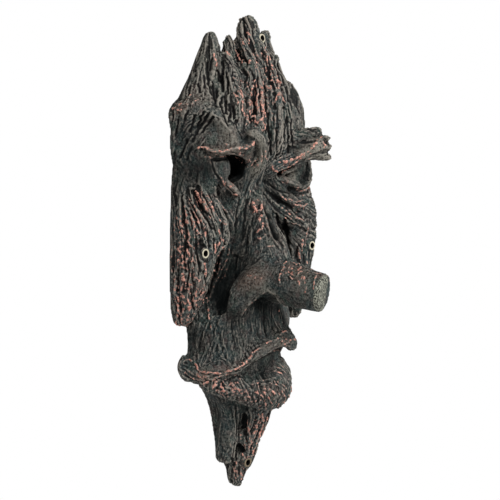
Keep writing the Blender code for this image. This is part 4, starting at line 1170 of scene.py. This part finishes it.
# Each coat: what it follows, where it starts and where it is full, its strength and its colour
COATS = [
    ("blotch", 0.38, 0.62, 1.0, GREEN_GREY),
    ("red specks", 0.52, 0.68, 0.6, RED_BROWN),
    ("moss", 0.52, 0.62, 0.6, MOSS),
    # The warm and pale coats carry painted highlights among their tints
    ("warm", 0.0, 1.0, 0.8, WARM_BROWN),
    ("pale", 0.1, 1.0, 1.0, PALE_TAN_AND_HIGHLIGHT),
    ("grit", 0.5, 0.68, 0.6, GRIT_GREY),
    ("grit", 0.5, 0.34, 0.85, BLACK_WASH_AND_SHADE),
    ("grain", 0.53, 0.72, 0.55, GRAIN_GREY),
    ("grain", 0.48, 0.3, 0.9, BLACK_WASH_AND_SHADE),
    # Painted highlight on the fine crests and painted shade in the fine hollows, each partly real dry
    # brushing and black wash
    ("ridge", 0.6, 1.1, 1.0, RIDGE_HIGHLIGHT_GREY),
    ("ridge", 0.4, 0.0, 1.0, BLACK_WASH_AND_SHADE),
    # Painted shade: in the broad hollows over a black wash, by the sky each vertex loses to the casting, and
    # in the grooves
    ("swell", 0.42, 0.0, 1.0, HOLLOW_SHADE_BLACK),
    ("shade", 0.3, 0.85, 0.9, SHADE_BLACK),
    ("cut", 0.15, 0.75, 1.0, SHADE_BLACK),
    # Painted shade under the shade dabs
    ("dark", 0.0, 1.0, 0.95, SHADE_DAB_BLACK),
]
followed = {
    "blotch": noise(45.0),
    "red specks": noise(170.0, 2.0),
    "moss": noise(80.0),
    "grit": noise(560.0, 2.0, 0.7),
    "grain": noise(620.0, 3.0, 0.7, vector_math("MULTIPLY", here, STREAK_SQUEEZE).outputs[0]),
}
for kept in ("warm", "pale", "ridge", "swell", "shade", "cut", "dark", "copper"):
    followed[kept] = attribute(kept)

paint = BLUE_GREY
for what, start, full, strength, colour in COATS:
    shape = "LINEAR" if what in LINEAR_COATS else "SMOOTHSTEP"
    share = math_node("MULTIPLY", spread(followed[what], start, full, shape), strength)
    paint = mix(share, paint, colour)

# Copper rubbed over the crests, caught by the specks that stand proud
DULL_COPPER = (0.24, 0.10, 0.075, 1)
BRIGHT_COPPER = (0.62, 0.32, 0.25, 1)
SPECK_SHARE = 3.4
RIDGE_SHARE = 0.6
COPPER_SHARE = 0.7
# Where the copper starts and where it is full
TOUCHED_RAMP = (2.6, 3.1)
COPPER_RAMP = (0.08, 0.4)
BRIGHT_RAMP = (0.4, 0.6)

specks = math_node("MULTIPLY", noise(360.0, 2.0), SPECK_SHARE)
touched = math_node("ADD", specks, math_node("MULTIPLY", followed["ridge"], RIDGE_SHARE))
touched = math_node("ADD", touched, math_node("MULTIPLY", followed["copper"], COPPER_SHARE))
where = spread(followed["copper"], *COPPER_RAMP)
rubbed = math_node("MULTIPLY", spread(touched, *TOUCHED_RAMP), where)
coppers = mix(spread(followed["grit"], *BRIGHT_RAMP), DULL_COPPER, BRIGHT_COPPER)
paint = mix(rubbed, paint, coppers)

# The sawn end of the stub: bare grey grit
DARK_GRIT = (0.012, 0.014, 0.012, 1)
PALE_GRIT = (0.26, 0.26, 0.21, 1)
GRIT_RAMP = (0.4, 0.62)
SAWN_STARTS = 1.2 * MM
SAWN_FULL = 0.6 * MM

sawn_level = float(STUB_END @ STUB_WAY) * MM
along_stub = vector_math("DOT_PRODUCT", here, tuple(STUB_WAY)).outputs["Value"]
sawn = spread(along_stub, sawn_level - SAWN_STARTS, sawn_level - SAWN_FULL)
paint = mix(sawn, paint, mix(spread(noise(760.0, 2.0), *GRIT_RAMP), DARK_GRIT, PALE_GRIT))

# The rims of the screw holes are rubbed to a pale cream, the chin's to a dull tan, and the bores get painted
# shade
CREAM = (0.44, 0.40, 0.30, 1)
DULL_TAN = (0.17, 0.135, 0.09, 1)
BORE_SHADE_BLACK = (0.001, 0.001, 0.001, 1)
CREAM_RIMS = ("forehead", "near cheek", "far cheek")
# Distances from the middle of a hole, where a colour starts and where it is full
CREAM_EDGE = (4.2 * MM, 3.8 * MM)
BORE_EDGE = (2.9 * MM, 2.6 * MM)
CHIN_RIM_RADIUS = 3.4 * MM
CHIN_RIM_HALF_WIDTH = 0.7 * MM

on_wall = vector_math("MULTIPLY", here, (1.0, 0.0, 1.0)).outputs[0]


def from_holes(names):
    """How far a point of the face is from the middle of the nearest of these screw holes."""
    nearest = 1.0
    for name in names:
        across, up = SCREW_HOLES[name]
        gap = vector_math("DISTANCE", on_wall, place(across, 0, up)).outputs["Value"]
        nearest = math_node("MINIMUM", gap, nearest)
    return nearest


paint = mix(spread(from_holes(CREAM_RIMS), *CREAM_EDGE), paint, CREAM)
chin_rim = math_node("COMPARE", from_holes(["chin"]), CHIN_RIM_RADIUS, CHIN_RIM_HALF_WIDTH)
paint = mix(chin_rim, paint, DULL_TAN)
# Painted shade in the screw holes' bores
paint = mix(spread(from_holes(SCREW_HOLES), *BORE_EDGE), paint, BORE_SHADE_BLACK)
links.new(paint, shader.inputs["Base Color"])

# The paint is matt, and still more so under the painted shade dabs
ROUGHNESS = 0.58
DARK_ROUGHNESS = 0.4
SPECULAR = 0.12
BUMP_STRENGTH = 0.9
BUMP_DEPTH = 0.8 * MM

darker = math_node("MULTIPLY", followed["dark"], DARK_ROUGHNESS)
links.new(math_node("ADD", darker, ROUGHNESS), shader.inputs["Roughness"])
shader.inputs["Specular IOR Level"].default_value = SPECULAR
bump = nodes.new("ShaderNodeBump")
bump.inputs["Strength"].default_value = BUMP_STRENGTH
bump.inputs["Distance"].default_value = BUMP_DEPTH
links.new(math_node("ADD", followed["grain"], followed["grit"]), bump.inputs["Height"])
links.new(bump.outputs["Normal"], shader.inputs["Normal"])
casting.data.materials.clear()
casting.data.materials.append(bark)

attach(casting, "root")
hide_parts("tree_face")

# The studio
# A white room: a pale floor below the plaque, white all round, and soft lamps as a product is lit.
FLOOR_DROP = 0.60
FLOOR_SIZE = 1.6
FLOOR_WHITE = (0.9, 0.9, 0.9, 1)
FLOOR_ROUGHNESS = 0.8

bpy.ops.mesh.primitive_plane_add(size=FLOOR_SIZE, location=(0, 0, -FLOOR_DROP))
floor = bpy.context.object
floor.name = "floor"
pale = bpy.data.materials.new("Pale floor")
pale.use_nodes = True
pale_shader = pale.node_tree.nodes["Principled BSDF"]
pale_shader.inputs["Base Color"].default_value = FLOOR_WHITE
pale_shader.inputs["Roughness"].default_value = FLOOR_ROUGHNESS
floor.data.materials.append(pale)

# Each lamp: its name, where it stands, its size in metres and its power in watts
LAMPS = [
    ("Key", (-0.1, -1.6, 1.2), 0.5, 38),
    ("Left fill", (-1.6, -0.6, 0.4), 0.6, 10),
    ("Right fill", (1.0, -1.2, 0.2), 0.6, 13),
]
for name, stands_at, size, watts in LAMPS:
    light = bpy.data.lights.new(name, "AREA")
    light.size = size
    light.energy = watts
    lamp = bpy.data.objects.new(name, light)
    lamp.location = stands_at
    lamp.rotation_euler = (-Vector(stands_at)).to_track_quat("-Z", "Y").to_euler()
    bpy.context.scene.collection.objects.link(lamp)

# The room is white to the camera, and lights the plaque more softly than it looks
WHITE = (1, 1, 1, 1)
SEEN_STRENGTH = 1.0
GLOW_STRENGTH = 0.28

room = bpy.data.worlds.new("White room")
room.use_nodes = True
bpy.context.scene.world = room
room_nodes = room.node_tree.nodes
room_links = room.node_tree.links
seen = room_nodes["Background"]
seen.inputs["Color"].default_value = WHITE
seen.inputs["Strength"].default_value = SEEN_STRENGTH
glow = room_nodes.new("ShaderNodeBackground")
glow.inputs["Color"].default_value = WHITE
glow.inputs["Strength"].default_value = GLOW_STRENGTH
path = room_nodes.new("ShaderNodeLightPath")
either = room_nodes.new("ShaderNodeMixShader")
room_links.new(path.outputs["Is Camera Ray"], either.inputs["Fac"])
room_links.new(glow.outputs["Background"], either.inputs[1])
room_links.new(seen.outputs["Background"], either.inputs[2])
room_links.new(either.outputs["Shader"], room_nodes["World Output"].inputs["Surface"])
bpy.context.scene.view_settings.view_transform = "Standard"
